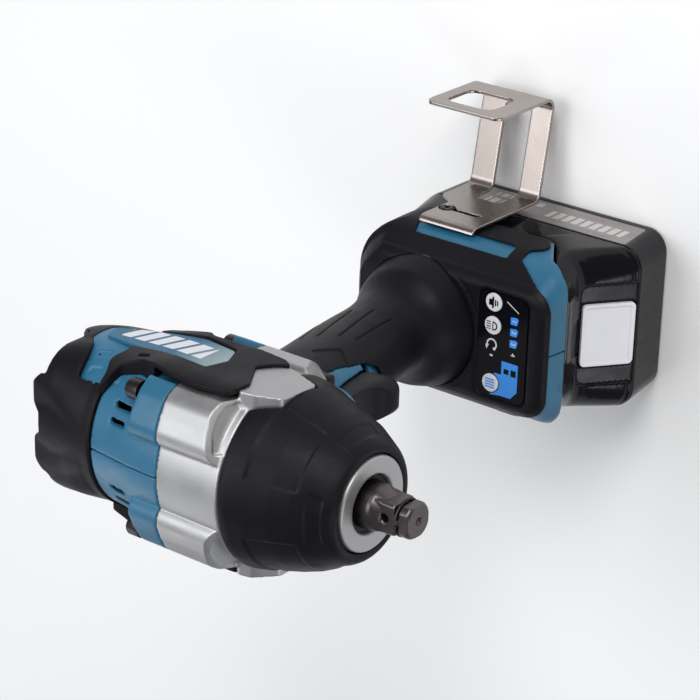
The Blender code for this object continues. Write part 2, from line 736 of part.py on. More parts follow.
def make_motor():
    steel = ((0.4, 0.4, 0.41), 0.35, 1.0)
    plate = ((-14.4, 11.4), (-14.4, 14.6), (-15, 32.5), (-21.4, 32.5), (-21.9, 14.6), (-21.9, 7), (-21, 7),
             (-21, 11.4))
    add("bearing_plate", turned([(x * MM, r * MM) for x, r in plate], 32), ((0.5, 0.5, 0.5), 0.4, 0.8))
    bearing = ((-15.2, 4.4), (-15.2, 11.1), (-20.7, 11.1), (-20.7, 4.4))
    add("front_bearing", turned([(x * MM, r * MM) for x, r in bearing], 24), steel)
    bearing = ((-70.4, 4.4), (-70.4, 9.5), (-76.2, 9.5), (-76.2, 4.4))
    add("rear_bearing", turned([(x * MM, r * MM) for x, r in bearing], 24), steel)

    shaft = add("rotor_shaft", drum(-75.6 * MM, -13.4 * MM, 4.1 * MM, segments=20), steel)
    sun = turned_by(gear_outline(SUN_TEETH), math.radians(90))
    join(shaft, cross_plate(sun, -13.6 * MM, -4 * MM))
    core = ((-38, 4.4), (-38, 17), (-63, 17), (-63, 4.4))
    add("rotor_core", turned([(x * MM, r * MM) for x, r in core], 28), ((0.12, 0.12, 0.13), 0.5, 0.7))

    stator = ((-37, 17.6), (-37, 32.5), (-64, 32.5), (-64, 17.6))
    stator = add("stator", turned([(x * MM, r * MM) for x, r in stator], 36), ((0.35, 0.2, 0.1), 0.45, 0.8))
    for i in range(6):
        angle = math.radians(30 + 60 * i)
        y, z = 24.9 * math.cos(angle) * MM, 24.9 * math.sin(angle) * MM
        cut(stator, drum(-66 * MM, -35 * MM, 4.7 * MM, y=y, z=z, segments=13))

    board = add("sensor_board", drum(-67.4 * MM, -65.8 * MM, 24 * MM, segments=36),
                ((0.02, 0.12, 0.05), 0.5))
    cut(board, drum(-70 * MM, -60 * MM, 13.4 * MM, segments=28))

    fan = add("cooling_fan", drum(-26.2 * MM, -24.6 * MM, 30 * MM, segments=40), ((0.03, 0.03, 0.03), 0.5))
    join(fan, drum(-33 * MM, -25 * MM, 8 * MM, segments=24))
    for i in range(11):
        angle = 2 * math.pi * i / 11
        blade = [(8, -0.9), (29.4, -0.9), (29.4, 0.9), (8, 0.9)]
        blade = turned_by(mm_points(*[(u - 2, v) for u, v in blade]), angle)
        join(fan, cross_plate(blade, -32.2 * MM, -25.4 * MM))
    cut(fan, drum(-40 * MM, -20 * MM, 4.4 * MM, segments=24))


# ---------------------------------------------------------------- handle and trigger


def make_grip():
    """The soft sleeve from the foot's collar to the trigger, with shallow grooves across its sides."""
    grip = add("grip_sleeve", loft(GRIP, "Z", 6), (BLACK, 0.55))
    cut(
        grip,
        loft(grown(HANDLE, GAP), "Z", 6),
        cross_plate(trigger_outline(), -16 * MM, 40 * MM),
        loft(grown(NECK, GAP), "Z", 6),
        loft(grown(BARREL, 0.4 * MM), "X", 8),
        *case_clearance(),
        block((4 * MM, -40 * MM, 189.8 * MM), (16 * MM, 40 * MM, 196.8 * MM)),
        *[drum(-31 * MM, -15 * MM, 5 * MM, y=side * BOLT_Y, z=-BOLT_Z, segments=20) for side in (-1, 1)],
    )


def make_trigger():
    outline = [
        (1, 187.4), (12, 188), (16.4, 185.6), (14.4, 180), (12.6, 172), (13.8, 164), (17.4, 157.6),
        (18.6, 153),
        (15.6, 150), (9, 150.2), (2, 154), (-0.4, 165), (-0.6, 180),
    ]
    trigger = add("trigger", side_plate(mm_points(*outline), -8.3 * MM, 8.3 * MM), (BLACK, 0.45))
    bevel = trigger.modifiers.new("edges", "BEVEL")
    bevel.width = 2 * MM
    bevel.segments = 3
    bevel.limit_method = "ANGLE"
    bevel.angle_limit = math.radians(50)
    join(trigger, rod((2 * MM, 0, 173 * MM), (-17 * MM, 0, 173 * MM), 2.6 * MM, segments=18))

    switch = add("trigger_switch",
                 block((-27 * MM, -8.6 * MM, 162 * MM), (-12.2 * MM, 8.6 * MM, 184 * MM), 1 * MM, 1),
                 ((0.03, 0.03, 0.03), 0.5))
    cut(switch, rod((-10 * MM, 0, 173 * MM), (-26 * MM, 0, 173 * MM), 2.9 * MM, segments=18))
    add("trigger_spring", coil(4.6 * MM, 0.4 * MM, 3, -1.3 * MM, -11.2 * MM, z=173 * MM),
        ((0.5, 0.5, 0.5), 0.3, 1.0))


def make_direction_lever():
    """The reversing bar, pushed from either side above the trigger."""
    lever = add(
        "direction_lever",
        block((4.8 * MM, -22.6 * MM, 190.6 * MM), (15.2 * MM, 22.6 * MM, 196 * MM), 1 * MM, 2),
        (BLACK, 0.45),
    )
    cut(lever, block((0, -3 * MM, 180 * MM), (8 * MM, 3 * MM, 200 * MM)))


def make_lamp():
    add("lamp_lens", block((20 * MM, -6.2 * MM, 189.9 * MM), (27.4 * MM, 6.2 * MM, 195.6 * MM), 1.6 * MM, 2),
        ((0.8, 0.8, 0.78), 0.15))


# ---------------------------------------------------------------- foot


def plan_outline(margin):
    """The foot's outline from above: its rear corners are rounder than its front ones."""
    rear, front, side = (-64.2 - margin) * MM, (41.4 + margin) * MM, (37.9 + margin) * MM
    turn, turn_front = 24 * MM, 13 * MM
    return [
        *arc((front - turn_front, side - turn_front), turn_front, 0, 90, 4),
        *arc((rear + turn, side - turn), turn, 90, 180, 5),
        *arc((rear + turn, turn - side), turn, 180, 270, 5),
        *arc((front - turn_front, turn_front - side), turn_front, 270, 360, 4),
    ]


def rear_shape(margin):
    """A long shape that rounds the foot's rear corners more and more towards the top."""
    rows = ((30, -64.2, 37.9, 24), (69, -64.2, 37.9, 24), (73, -63.4, 35.4, 25), (76.5, -61.4, 33.6, 25),
            (80, -58.6, 31.6, 25),
            (82.4, -55, 30, 25))
    return loft([(z * MM, (rear + 120) / 2 * MM, 0, (120 - rear) / 2 * MM + margin, half * MM + margin,
                  turn * MM + margin)
                 for z, rear, half, turn in rows], "Z", 6)


def make_foot_cover():
    """The soft cover: a lid on the foot that runs down over its shoulders, and guards along its sides."""
    cover = add("foot_cover", loft(FOOT_LID[1:], "Z", 6), (BLACK, 0.55))
    skirt = tool(loft([*grown(FOOT, 1.3 * MM)[:-1], (79 * MM, *FOOT_LID[3][1:])], "Z", 6))
    boolean(cover, skirt, "UNION")
    core = grown(FOOT, 0.25 * MM)
    cut(cover, loft([(40 * MM, *core[0][1:]), *core[:-1], (78.6 * MM, *core[-1][1:])], "Z", 6))
    outline = mm_points(
        (-57, 45.6), (17, 45.6), (26, 60), (18.4, 62), (18.4, 69), (33, 78.3), (60, 78.3), (60, 95),
        (-80, 95),
        (-80, 60), (-66, 48),
    )
    window = mm_points((-41.5, 61.4), (10.2, 61.4), (10.2, 70), (-37, 70))
    keep_inside(cover, side_plate(outline, -60 * MM, 60 * MM, window))
    keep_inside(cover, floor_plate(plan_outline(1.3), 30 * MM, 95 * MM))
    keep_inside(cover, rear_shape(1.35 * MM))
    cut(
        cover,
        drum_down(-26 * MM, 29.9 * MM, 70 * MM, 90 * MM),
        floor_plate(rounded_outline(5.7 * MM, 31.3 * MM, -24.3 * MM, 24.3 * MM, 4 * MM), 79.8 * MM, 90 * MM),
        rod((-35.4 * MM, 30 * MM, 50 * MM), (-35.4 * MM, 45 * MM, 50 * MM), 3.2 * MM, segments=12),
    )


def drum_down(x, radius, z0, z1, segments=40):
    return rod((x, 0, z0), (x, 0, z1), radius, segments=segments)


PANEL_BUTTONS = ((13.6, 19.6, "mode"), (13.6, 9, "lamp"), (13.6, -17.6, "stop"))


def make_panel():
    panel = add(
        "control_panel",
        floor_plate(rounded_outline(6 * MM, 31 * MM, -24 * MM, 24 * MM, 3.7 * MM), 80.1 * MM, 81.7 * MM),
        ((0.01, 0.01, 0.012), 0.12),
    )
    for x, y, name in PANEL_BUTTONS:
        cut(panel, rod((x * MM, y * MM, 70 * MM), (x * MM, y * MM, 90 * MM), 4.4 * MM, segments=20))
        button = add(f"{name}_button",
                     rod((x * MM, y * MM, 80.7 * MM), (x * MM, y * MM, 82.1 * MM), 4.1 * MM, segments=20),
                     ((0.7, 0.7, 0.7), 0.4))
        bevel = button.modifiers.new("edge", "BEVEL")
        bevel.width = 0.3 * MM
        bevel.segments = 1
        bevel.limit_method = "ANGLE"


def make_electronics():
    add("controller_board", block((-57 * MM, -28 * MM, 68.4 * MM), (31 * MM, 28 * MM, 70 * MM)),
        ((0.02, 0.12, 0.05), 0.5))
    holder = add("terminal_block",
                 block((-34.8 * MM, -17.6 * MM, 62.9 * MM), (-7.2 * MM, 17.6 * MM, 67.8 * MM)),
                 ((0.03, 0.03, 0.03), 0.5))
    for y in (-12, 12):
        join(holder, block((-30 * MM, (y - 0.5) * MM, 53 * MM), (-16 * MM, (y + 0.5) * MM, 64 * MM)))


def make_hook():
    """A bent steel strip: a lip and base on the foot's left side, two legs outwards and a plate turned up."""
    path = [(38.6, 64.6), (40.2, 63.6), (40.8, 61.4), (40.8, 19)]
    path += arc((45.6, 19), 4.8, 180, 260, 5)[1:]
    path += arc((82.2, 12.2), 4.6, 260, 360, 6)
    path += [(86.8, 49.4)]
    half = 0.8
    left, right = [], []
    for i, (y, z) in enumerate(path):
        before = path[max(i - 1, 0)]
        after = path[min(i + 1, len(path) - 1)]
        along = Vector((after[0] - before[0], after[1] - before[1])).normalized()
        left.append((y - along.y * half, z + along.x * half))
        right.append((y + along.y * half, z - along.x * half))
    strip = mm_points(*(left + right[::-1]))
    frame = Matrix.Translation((-30.5 * MM, 0, 0)) @ Matrix(((0, 0, 1, 0), (1, 0, 0, 0), (0, 1, 0, 0),
                                                             (0, 0, 0, 1)))
    hook = add("belt_hook", outline_solid([strip], 20 * MM, frame), ((0.3, 0.27, 0.25), 0.35, 1.0))
    slot = rounded_outline(-35.4 * MM, -21.4 * MM, 17 * MM, 31 * MM, 3 * MM)
    keyhole = mm_points(*arc((-35.4, 50), 3.4, 20, 340, 12), (-19.4, 48.8),
                        *arc((-19.4, 50), 1.2, -90, 90, 4))
    window = rounded_outline(-44.5 * MM, -20 * MM, 22 * MM, 43 * MM, 5 * MM)
    cut(
        hook,
        side_plate(mm_points((-60, -10), (-47.8, -10), (-47.8, 37), (-39.5, 43), (-39.5, 80), (-60, 80)),
                   30 * MM, 81 * MM),
        side_plate(mm_points((0, 30), (-10, 30), (-10.6, 37), (-10.6, 80), (0, 80)), 30 * MM, 50 * MM),
        block((-35.4 * MM, 38 * MM, 3 * MM), (-21.4 * MM, 80.6 * MM, 24 * MM)),
        side_plate(slot, 30 * MM, 60 * MM),
        side_plate(keyhole, 30 * MM, 60 * MM),
        side_plate(window, 80 * MM, 95 * MM),
        side_plate(
            mm_points((-60, 0), (0, 0), (0, 60), (-60, 60)),
            82 * MM,
            95 * MM,
            rounded_outline(-50.4 * MM, -10.2 * MM, 2 * MM, 49.6 * MM, 5 * MM),
        ),
    )
    screw = add("hook_screw", rod((-35.4 * MM, 38.1 * MM, 50 * MM), (-35.4 * MM, 41.8 * MM, 50 * MM),
                                  2.9 * MM, segments=20),
                ((0.03, 0.03, 0.03), 0.4, 0.8))
    join(screw, rod((-35.4 * MM, 31 * MM, 50 * MM), (-35.4 * MM, 39 * MM, 50 * MM), 1.9 * MM, segments=14))
    cut(screw, rod((-35.4 * MM, 40 * MM, 50 * MM), (-35.4 * MM, 45 * MM, 50 * MM), 1.5 * MM, segments=6))


# ---------------------------------------------------------------- battery


def slope_frame():
    """The frame of the battery's sloping front: u up the slope, v across, w out of it."""
    up = (BUTTON_TOP - BUTTON_LOW).normalized()
    out = Vector((-up.z, 0, up.x)) * -1
    if out.x < 0:
        out = -out
    across = out.cross(up)
    centre = (BUTTON_TOP + BUTTON_LOW) / 2
    return Matrix.Translation(centre) @ Matrix((up, across, out)).transposed().to_4x4()


def make_battery_cases():
    frame = slope_frame()
    pocket = rounded_outline(-12.6 * MM, 12.6 * MM, -14.9 * MM, 14.9 * MM, 2.4 * MM)
    lower = add(
        "battery_lower_case",
        loft(
            scaled(
                [
                    (0, -8, 0, 54.6, 36.2, 14),
                    (1.6, -7.4, 0, 55.9, 37.5, 15),
                    (16, -6.4, 0, 57, 37.5, 15),
                    (28, -5.6, 0, 57.8, 37.5, 15),
                ]
            ),
            "Z",
        ),
        ((0.012, 0.012, 0.014), 0.3),
    )
    cut(
        lower,
        loft(scaled([(2.2, -7.4, 0, 53.8, 35.2, 9), (40, -5.6, 0, 55.6, 35.2, 9)]), "Z"),
        outline_solid([pocket], 13 * MM, frame),
    )

    upper = add(
        "battery_upper_case",
        loft(
            scaled(
                [
                    (28.3, -5.6, 0, 57.8, 37.5, 15),
                    (30.6, -6.2, 0, 57.1, 37.3, 15),
                    (40, -11.4, 0, 51.4, 36.6, 15),
                    (44.6, -13, 0, 49.4, 35.8, 15),
                ]
            ),
            "Z",
        ),
        ((0.012, 0.012, 0.014), 0.15),
    )
    front = mm_points(
        (10, 40), (19.2, 44.2), (30.4, 61.8), (37.6, 66), (40.4, 66), (38, 60), (37.5, 49), (50.6, 31.6),
        (46, 30), (20, 30)
    )
    nose = tool(side_plate(front, -36.6 * MM, 36.6 * MM))
    sides = scaled([(25, -8, 0, 61, 37, 10), (50, -8, 0, 61, 36.6, 12), (70, -8, 0, 61, 29.5, 12)])
    boolean(nose, tool(loft(sides, "Z")), "INTERSECT")
    boolean(upper, nose, "UNION")
    join(
        upper,
        block((-60 * MM, -25 * MM, 43 * MM), (24 * MM, 25 * MM, 60 * MM)),
        block((-60.4 * MM, -28.2 * MM, 55 * MM), (24.4 * MM, 28.2 * MM, 59 * MM)),
    )
    cut(
        upper,
        loft(scaled([(20, -5.6, 0, 55.6, 35.2, 9), (28, -6.2, 0, 55, 35, 9),
                     (42.2, -14.8, 0, 46.2, 33.8, 9)]), "Z"),
        outline_solid([pocket], 13 * MM, frame),
        block((29.6 * MM, -8.4 * MM, 36 * MM), (37 * MM, 8.4 * MM, 70 * MM)),
    )
    for y in (-12, 12):
        cut(upper, block((-70 * MM, (y - 1.3) * MM, 51.6 * MM), (-12 * MM, (y + 1.3) * MM, 70 * MM)))


def make_release_button():
    """The release button and latch: pressed into the sloping front, it pulls the latch down and back."""
    frame = slope_frame()
    face = rounded_outline(-12.1 * MM, 12.1 * MM, -BUTTON_HALF_Y, BUTTON_HALF_Y, 2.2 * MM)
    sunk = frame @ Matrix.Translation((0, 0, -0.9 * MM))
    button = add("release_button", outline_solid([face], 0.9 * MM, sunk), ((0.72, 0.72, 0.74), 0.35))
    join(
        button,
        block((33 * MM, -7.6 * MM, 40.6 * MM), (42.6 * MM, 7.6 * MM, 44 * MM)),
        block((32.6 * MM, -7.6 * MM, 40.6 * MM), (36 * MM, 7.6 * MM, 62 * MM)),
    )


def make_cells():
    """Five pairs of cells, each pair welded by a nickel strip at both ends."""
    for i in range(5):
        x = CELL_FIRST_X + i * CELL_PITCH
        low_z = 11.8 * MM
        high_z = low_z + 18.5 * MM
        half = CELL_LENGTH / 2
        pair = add(f"cell_pair_{i + 1}", rod((x, -half, low_z), (x, half, low_z), CELL_R, segments=14),
                   ((0.05, 0.25, 0.1), 0.4))
        join(pair, rod((x, -half, high_z), (x, half, high_z), CELL_R, segments=14))
        for side in (-1, 1):
            low, high = sorted((side * (half - 0.2 * MM), side * (half + 0.4 * MM)))
            join(pair, block((x - 4 * MM, low, 7 * MM), (x + 4 * MM, high, 35 * MM)))


make_housing_halves()
make_rear_cap()
make_bumpers()
make_hammer_case()
make_front_boot()
make_case_bolts()
make_gears()
make_spindle()
make_hammer()
make_anvil()
make_friction_ring()
make_bushing()
make_hammer_spring()
make_motor()
make_grip()
make_trigger()
make_direction_lever()
make_lamp()
make_foot_cover()
make_panel()
make_electronics()
make_hook()
make_battery_cases()
make_release_button()
make_cells()


# ---------------------------------------------------------------- origins of the moving pieces


def place_origin(names, point):
    for name in names:
        obj = bpy.data.objects[name]
        obj.data.transform(Matrix.Translation(-Vector(point)))
        obj.location = point


place_origin(
    [
        "spindle", "planet_pin_1", "planet_pin_2", "planet_pin_3", "cam_ball_1", "cam_ball_2",
        "hammer_spring",
        "hammer", "anvil", "friction_ring", "rotor_shaft", "rotor_core", "cooling_fan",
    ],
    AXIS_Y0,
)
for planet in range(PLANETS):
    centre_y, centre_z = planet_centre(planet)[1]
    place_origin([f"planet_gear_{planet + 1}"], (0, centre_y, AXIS_Z + centre_z))
place_origin(["trigger"], (0, 0, 173 * MM))
place_origin(["direction_lever"], (10 * MM, 0, 193.3 * MM))
for x, y, button_name in PANEL_BUTTONS:
    place_origin([f"{button_name}_button"], (x * MM, y * MM, 81.4 * MM))
place_origin(["battery_lower_case", "battery_upper_case", *[f"cell_pair_{i}" for i in range(1, 6)]],
             (0, 0, 28 * MM))
place_origin(["release_button"], (BUTTON_TOP + BUTTON_LOW) / 2)
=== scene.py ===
"""Looks for the impact wrench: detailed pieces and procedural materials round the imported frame.

The frame stands on its battery: +X along the drive, +Y the belt hook's side, +Z from battery to head.
Lengths are metres, and shapes are written in millimetres and scaled by MM.
"""

import json
import math

import bmesh
import bpy
from mathutils import Matrix, Vector


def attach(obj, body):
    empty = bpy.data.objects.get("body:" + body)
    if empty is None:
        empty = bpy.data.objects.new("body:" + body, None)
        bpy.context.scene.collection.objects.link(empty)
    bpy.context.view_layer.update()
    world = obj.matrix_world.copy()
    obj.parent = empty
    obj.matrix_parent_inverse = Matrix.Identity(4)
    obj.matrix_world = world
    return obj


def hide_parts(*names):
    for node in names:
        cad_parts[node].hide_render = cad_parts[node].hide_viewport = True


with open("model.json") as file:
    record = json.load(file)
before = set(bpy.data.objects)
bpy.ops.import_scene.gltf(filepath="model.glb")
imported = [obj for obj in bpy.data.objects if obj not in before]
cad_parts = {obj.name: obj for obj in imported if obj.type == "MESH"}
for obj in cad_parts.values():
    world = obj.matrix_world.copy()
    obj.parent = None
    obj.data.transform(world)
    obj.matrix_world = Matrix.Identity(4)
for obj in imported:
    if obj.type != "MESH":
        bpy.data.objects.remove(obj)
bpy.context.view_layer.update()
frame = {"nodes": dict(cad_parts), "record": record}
MM = 0.001
HEAD_Z = 235.2  # mm, the height of the drive axis
AXIS_Z = HEAD_Z * MM
CROSSWISE = Matrix(((0, 0, 1, 0), (1, 0, 0, 0), (0, 1, 0, 0), (0, 0, 0, 1)))  # flat u and v to Y and Z
SEAM_X = -6.6  # between the housing's flange and the hammer case
FULL_ROUND = 500  # mm, more than any half width, so that a ring is an ellipse
CORNERS = ((1, 1), (1, -1), (-1, -1), (-1, 1))  # the signs of y and z at case bolts 1 to 4
BOLT_Y, BOLT_Z = 29.1, 28.1
TEAL = (0.018, 0.115, 0.208)
LOOK = {}  # every material by its name, filled as they are made


# ---- materials


class Nodes:
    """Short calls that add nodes to one new material, which LOOK keeps."""

    def __init__(self, name):
        LOOK[name] = bpy.data.materials.new(name)
        LOOK[name].use_nodes = True
        self.tree = LOOK[name].node_tree
        self.shader = self.tree.nodes["Principled BSDF"]
        self.place = self.new("ShaderNodeTexCoord").outputs["Object"]

    def new(self, kind, **values):
        node = self.tree.nodes.new(kind)
        for key, value in values.items():
            setattr(node, key, value)
        return node

    def link(self, output, target):
        self.tree.links.new(output, target)

    def stretched(self, scale):
        node = self.new("ShaderNodeMapping")
        node.inputs["Scale"].default_value = scale
        self.link(self.place, node.inputs["Vector"])
        return node.outputs["Vector"]

    def noise(self, scale, detail=3.0, rough=0.5, vector=None):
        node = self.new("ShaderNodeTexNoise")
        node.inputs["Scale"].default_value = scale
        node.inputs["Detail"].default_value = detail
        node.inputs["Roughness"].default_value = rough
        self.link(vector or self.place, node.inputs["Vector"])
        return node.outputs["Fac"]

    def remap(self, value, low, high, to_low, to_high):
        node = self.new("ShaderNodeMapRange")
        node.inputs["From Min"].default_value = low
        node.inputs["From Max"].default_value = high
        node.inputs["To Min"].default_value = to_low
        node.inputs["To Max"].default_value = to_high
        self.link(value, node.inputs["Value"])
        return node.outputs["Result"]

    def mix(self, factor, first, second):
        node = self.new("ShaderNodeMix", data_type="RGBA")
        self.link(factor, node.inputs["Factor"])
        for socket, value in ((node.inputs[6], first), (node.inputs[7], second)):
            if isinstance(value, tuple):
                socket.default_value = (*value, 1)
            else:
                self.link(value, socket)
        return node.outputs[2]

    def maths(self, operation, first, second):
        node = self.new("ShaderNodeMath", operation=operation)
        for socket, value in zip(node.inputs, (first, second)):
            if isinstance(value, (int, float)):
                socket.default_value = value
            else:
                self.link(value, socket)
        return node.outputs["Value"]

    def axes(self):
        node = self.new("ShaderNodeSeparateXYZ")
        self.link(self.place, node.inputs["Vector"])
        return node.outputs[:]

    def within(self, value, low, high):
        """1 between two limits and 0 elsewhere."""
        above = self.maths("GREATER_THAN", value, low)
        return self.maths("MULTIPLY", above, self.maths("LESS_THAN", value, high))

    def stripes(self, value, per_metre, filled):
        """1 on the filled share of each stripe and 0 between them."""
        turns = self.maths("MULTIPLY", value, per_metre)
        return self.maths("LESS_THAN", self.maths("FRACT", turns, 0.0), filled)

    def edge_mask(self, radius):
        """Near 1 on outward and inward edges, from how far a rounded normal turns from the true one."""
        bevel = self.new("ShaderNodeBevel", samples=6)
        bevel.inputs["Radius"].default_value = radius
        dot = self.new("ShaderNodeVectorMath", operation="DOT_PRODUCT")
        self.link(bevel.outputs["Normal"], dot.inputs[0])
        self.link(self.new("ShaderNodeNewGeometry").outputs["Normal"], dot.inputs[1])
        return self.remap(dot.outputs["Value"], 0.995, 0.9, 0.0, 1.0)

    def colour(self, output):
        self.link(output, self.shader.inputs["Base Color"])

    def roughness(self, output):
        self.link(output, self.shader.inputs["Roughness"])

    def set(self, **values):
        for key, value in values.items():
            self.shader.inputs[key.replace("_", " ")].default_value = value

    def bump(self, *layers):
        """Bump layers as (height output, depth in metres)."""
        normal = None
        for height, depth in layers:
            node = self.new("ShaderNodeBump")
            node.inputs["Distance"].default_value = depth
            node.inputs["Strength"].default_value = 1.0
            self.link(height, node.inputs["Height"])
            if normal:
                self.link(normal, node.inputs["Normal"])
            normal = node.outputs["Normal"]
        self.link(normal, self.shader.inputs["Normal"])


def shade_of(colour, factor):
    return tuple(min(1, channel * factor) for channel in colour)


def moulded(name, colour, rough, grain_mm, grain_depth, spread=0.12, coat=0.0, specular=0.5, wear=0.0):
    """A moulded plastic or rubber: drifting colour, fine grain, handling marks and soft edge wear."""
    n = Nodes(name)
    drift = n.remap(n.noise(28, 3), 0.3, 0.7, 0, 1)
    base = n.mix(drift, shade_of(colour, 1 - spread), shade_of(colour, 1 + spread))
    specks = n.remap(n.noise(1 / (0.4 * MM), 2), 0.66, 0.78, 0, 0.16)
    base = n.mix(specks, base, shade_of(colour, 1.9))
    if wear:
        worn = n.maths("MULTIPLY", n.edge_mask(0.5 * MM), n.remap(n.noise(160, 4), 0.42, 0.62, 0.1, wear))
        base = n.mix(worn, base, tuple(0.55 * channel + 0.06 for channel in colour))
    n.colour(base)
    marks = n.remap(n.noise(75, 5, 0.65, n.stretched((1, 2.4, 0.6))), 0.35, 0.7, rough - 0.06, rough + 0.09)
    n.roughness(marks)
    n.set(Specular_IOR_Level=specular, Coat_Weight=coat, Coat_Roughness=0.12)
    grain = n.noise(1 / (grain_mm * MM), 2, 0.6)
    n.bump((n.noise(90, 2), 0.00006), (grain, grain_depth * MM))


def metal(name, colour, rough, grain_mm, grain_depth, streak=None, spread=0.1, wear=None):
    """A metal with grain or drawn streaks, mottled roughness and brighter or darker edges."""
    n = Nodes(name)
    vector = n.stretched(streak) if streak else n.place
    grain = n.noise(1 / (grain_mm * MM), 3, 0.6, vector)
    mottle = n.noise(60, 5, 0.6)
    darker, brighter = shade_of(colour, 1 - spread), shade_of(colour, 1 + spread)
    base = n.mix(n.remap(mottle, 0.32, 0.68, 0, 1), darker, brighter)
    base = n.mix(n.remap(grain, 0.35, 0.65, 0.0, 0.35), base, shade_of(colour, 0.8))
    if wear:
        worn = n.maths("MULTIPLY", n.edge_mask(0.45 * MM), n.remap(n.noise(300, 3), 0.4, 0.6, 0.2, 0.9))
        base = n.mix(worn, base, wear)
    n.colour(base)
    n.roughness(n.remap(mottle, 0.3, 0.7, rough - 0.06, rough + 0.08))
    n.set(Metallic=1.0)
    n.bump((grain, grain_depth * MM))


# ---- making shapes


def mesh_of(bm):
    mesh = bpy.data.meshes.new("shape")
    bmesh.ops.recalc_face_normals(bm, faces=bm.faces)
    bm.to_mesh(mesh)
    bm.free()
    return mesh


def placed(mesh):
    obj = bpy.data.objects.new("work", mesh)
    bpy.context.scene.collection.objects.link(obj)
    return obj


def evaluated(obj):
    """The object's mesh with its modifiers applied. The object is used up."""
    bpy.context.view_layer.update()
    mesh = bpy.data.meshes.new_from_object(obj.evaluated_get(bpy.context.evaluated_depsgraph_get()))
    bpy.data.objects.remove(obj)
    return mesh


def combine(mesh, operation, *others):
    """A new mesh: the first after a boolean with each of the others in turn."""
    obj = placed(mesh)
    helpers = []
    for other in others:
        helper = placed(other)
        helper.hide_render = True
        step = obj.modifiers.new("step", "BOOLEAN")
        step.operation = operation
        step.solver = "MANIFOLD"
        step.object = helper
        helpers.append(helper)
    made = evaluated(obj)
    for helper in helpers:
        bpy.data.objects.remove(helper)
    return made


def cut(mesh, *others):
    return combine(mesh, "DIFFERENCE", *others)


def join(mesh, *others):
    return combine(mesh, "UNION", *others)


def inside(mesh, *others):
    return combine(mesh, "INTERSECT", *others)


def rod(start, end, radius, end_radius=None, segments=48):
    """A cylinder or cone between two points in millimetres."""
    start, end = Vector(start) * MM, Vector(end) * MM
    turn = (end - start).to_track_quat("Z", "Y").to_matrix().to_4x4()
    bm = bmesh.new()
    bmesh.ops.create_cone(
        bm, cap_ends=True, segments=segments, radius1=radius * MM,
        radius2=(radius if end_radius is None else end_radius) * MM, depth=(end - start).length,
        matrix=Matrix.Translation((start + end) / 2) @ turn,
    )
    return mesh_of(bm)


def drum(x0, x1, radius, y=0.0, z=0.0, segments=64):
    """A cylinder along the drive axis, beside it by y and z."""
    return rod((x0, y, HEAD_Z + z), (x1, y, HEAD_Z + z), radius, segments=segments)


def block(start, end, bevel=0.0, segments=3):
    """A box between two opposite corners, with its edges rounded."""
    low = Vector(map(min, start, end)) * MM
    high = Vector(map(max, start, end)) * MM
    bm = bmesh.new()
    place = Matrix.Translation((low + high) / 2) @ Matrix.Diagonal((*(high - low), 1))
    bmesh.ops.create_cube(bm, size=1, matrix=place)
    if bevel:
        size = bevel * MM
        bmesh.ops.bevel(bm, geom=bm.edges[:], offset=size, segments=segments, profile=0.5, affect="EDGES")
    return mesh_of(bm)


def turned(profile, segments=96):
    """A solid turned about the drive axis from (x, radius) points in millimetres."""
    bm = bmesh.new()
    rings = []
    for x, radius in profile:
        if radius == 0:
            rings.append([bm.verts.new((x * MM, 0, AXIS_Z))])
            continue
        places = arc((0, HEAD_Z), radius, 0, 360, segments)[:-1]
        rings.append([bm.verts.new((x * MM, y * MM, z * MM)) for y, z in places])
    for first, second in zip(rings, rings[1:] + rings[:1]):
        if len(first) == 1 and len(second) == 1:
            continue
        for i in range(segments):
            j = (i + 1) % segments
            corners = [ring[k % len(ring)] for ring, k in ((first, i), (first, j), (second, j), (second, i))]
            bm.faces.new(dict.fromkeys(corners))
    return mesh_of(bm)


def plate(outlines, half, matrix):
    """Flat outlines filled and given a thickness of twice half; further outlines are holes."""
    curve = bpy.data.curves.new("outline", "CURVE")
    curve.dimensions = "2D"
    curve.fill_mode = "BOTH"
    curve.extrude = half * MM
    for points in outlines:
        spline = curve.splines.new("POLY")
        spline.points.add(len(points) - 1)
        spline.use_cyclic_u = True
        for point, (u, v) in zip(spline.points, points):
            point.co = (u * MM, v * MM, 0, 1)
    mesh = evaluated(placed(curve))
    bm = bmesh.new()
    bm.from_mesh(mesh)
    bmesh.ops.remove_doubles(bm, verts=bm.verts, dist=0.00001)
    bmesh.ops.transform(bm, matrix=matrix, verts=bm.verts)
    return mesh_of(bm)


def side_plate(outline, y0, y1, *holes):
    """A plate with its outline in X and Z."""
    matrix = Matrix.Translation((0, (y0 + y1) / 2 * MM, 0)) @ Matrix.Rotation(math.radians(90), 4, "X")
    return plate([outline, *holes], abs(y1 - y0) / 2, matrix)


def floor_plate(outline, z0, z1, *holes):
    return plate([outline, *holes], abs(z1 - z0) / 2, Matrix.Translation((0, 0, (z0 + z1) / 2 * MM)))


def cross_plate(outline, x0, x1, *holes):
    """A plate across the drive axis, with its outline in Y and Z counted from the axis."""
    centre = Vector(((x0 + x1) / 2 * MM, 0, AXIS_Z))
    matrix = Matrix.Translation(centre) @ CROSSWISE
    return plate([outline, *holes], abs(x1 - x0) / 2, matrix)


def arc(centre, radius, start, end, steps):
    angles = [math.radians(start + (end - start) * i / steps) for i in range(steps + 1)]
    return [(centre[0] + radius * math.cos(a), centre[1] + radius * math.sin(a)) for a in angles]


def box_outline(u0, u1, v0, v1, radius, steps=8):
    corners = (
        ((u1 - radius, v1 - radius), 0),
        ((u0 + radius, v1 - radius), 90),
        ((u0 + radius, v0 + radius), 180),
        ((u1 - radius, v0 + radius), 270),
    )
    return [point for centre, start in corners for point in arc(centre, radius, start, start + 90, steps)]


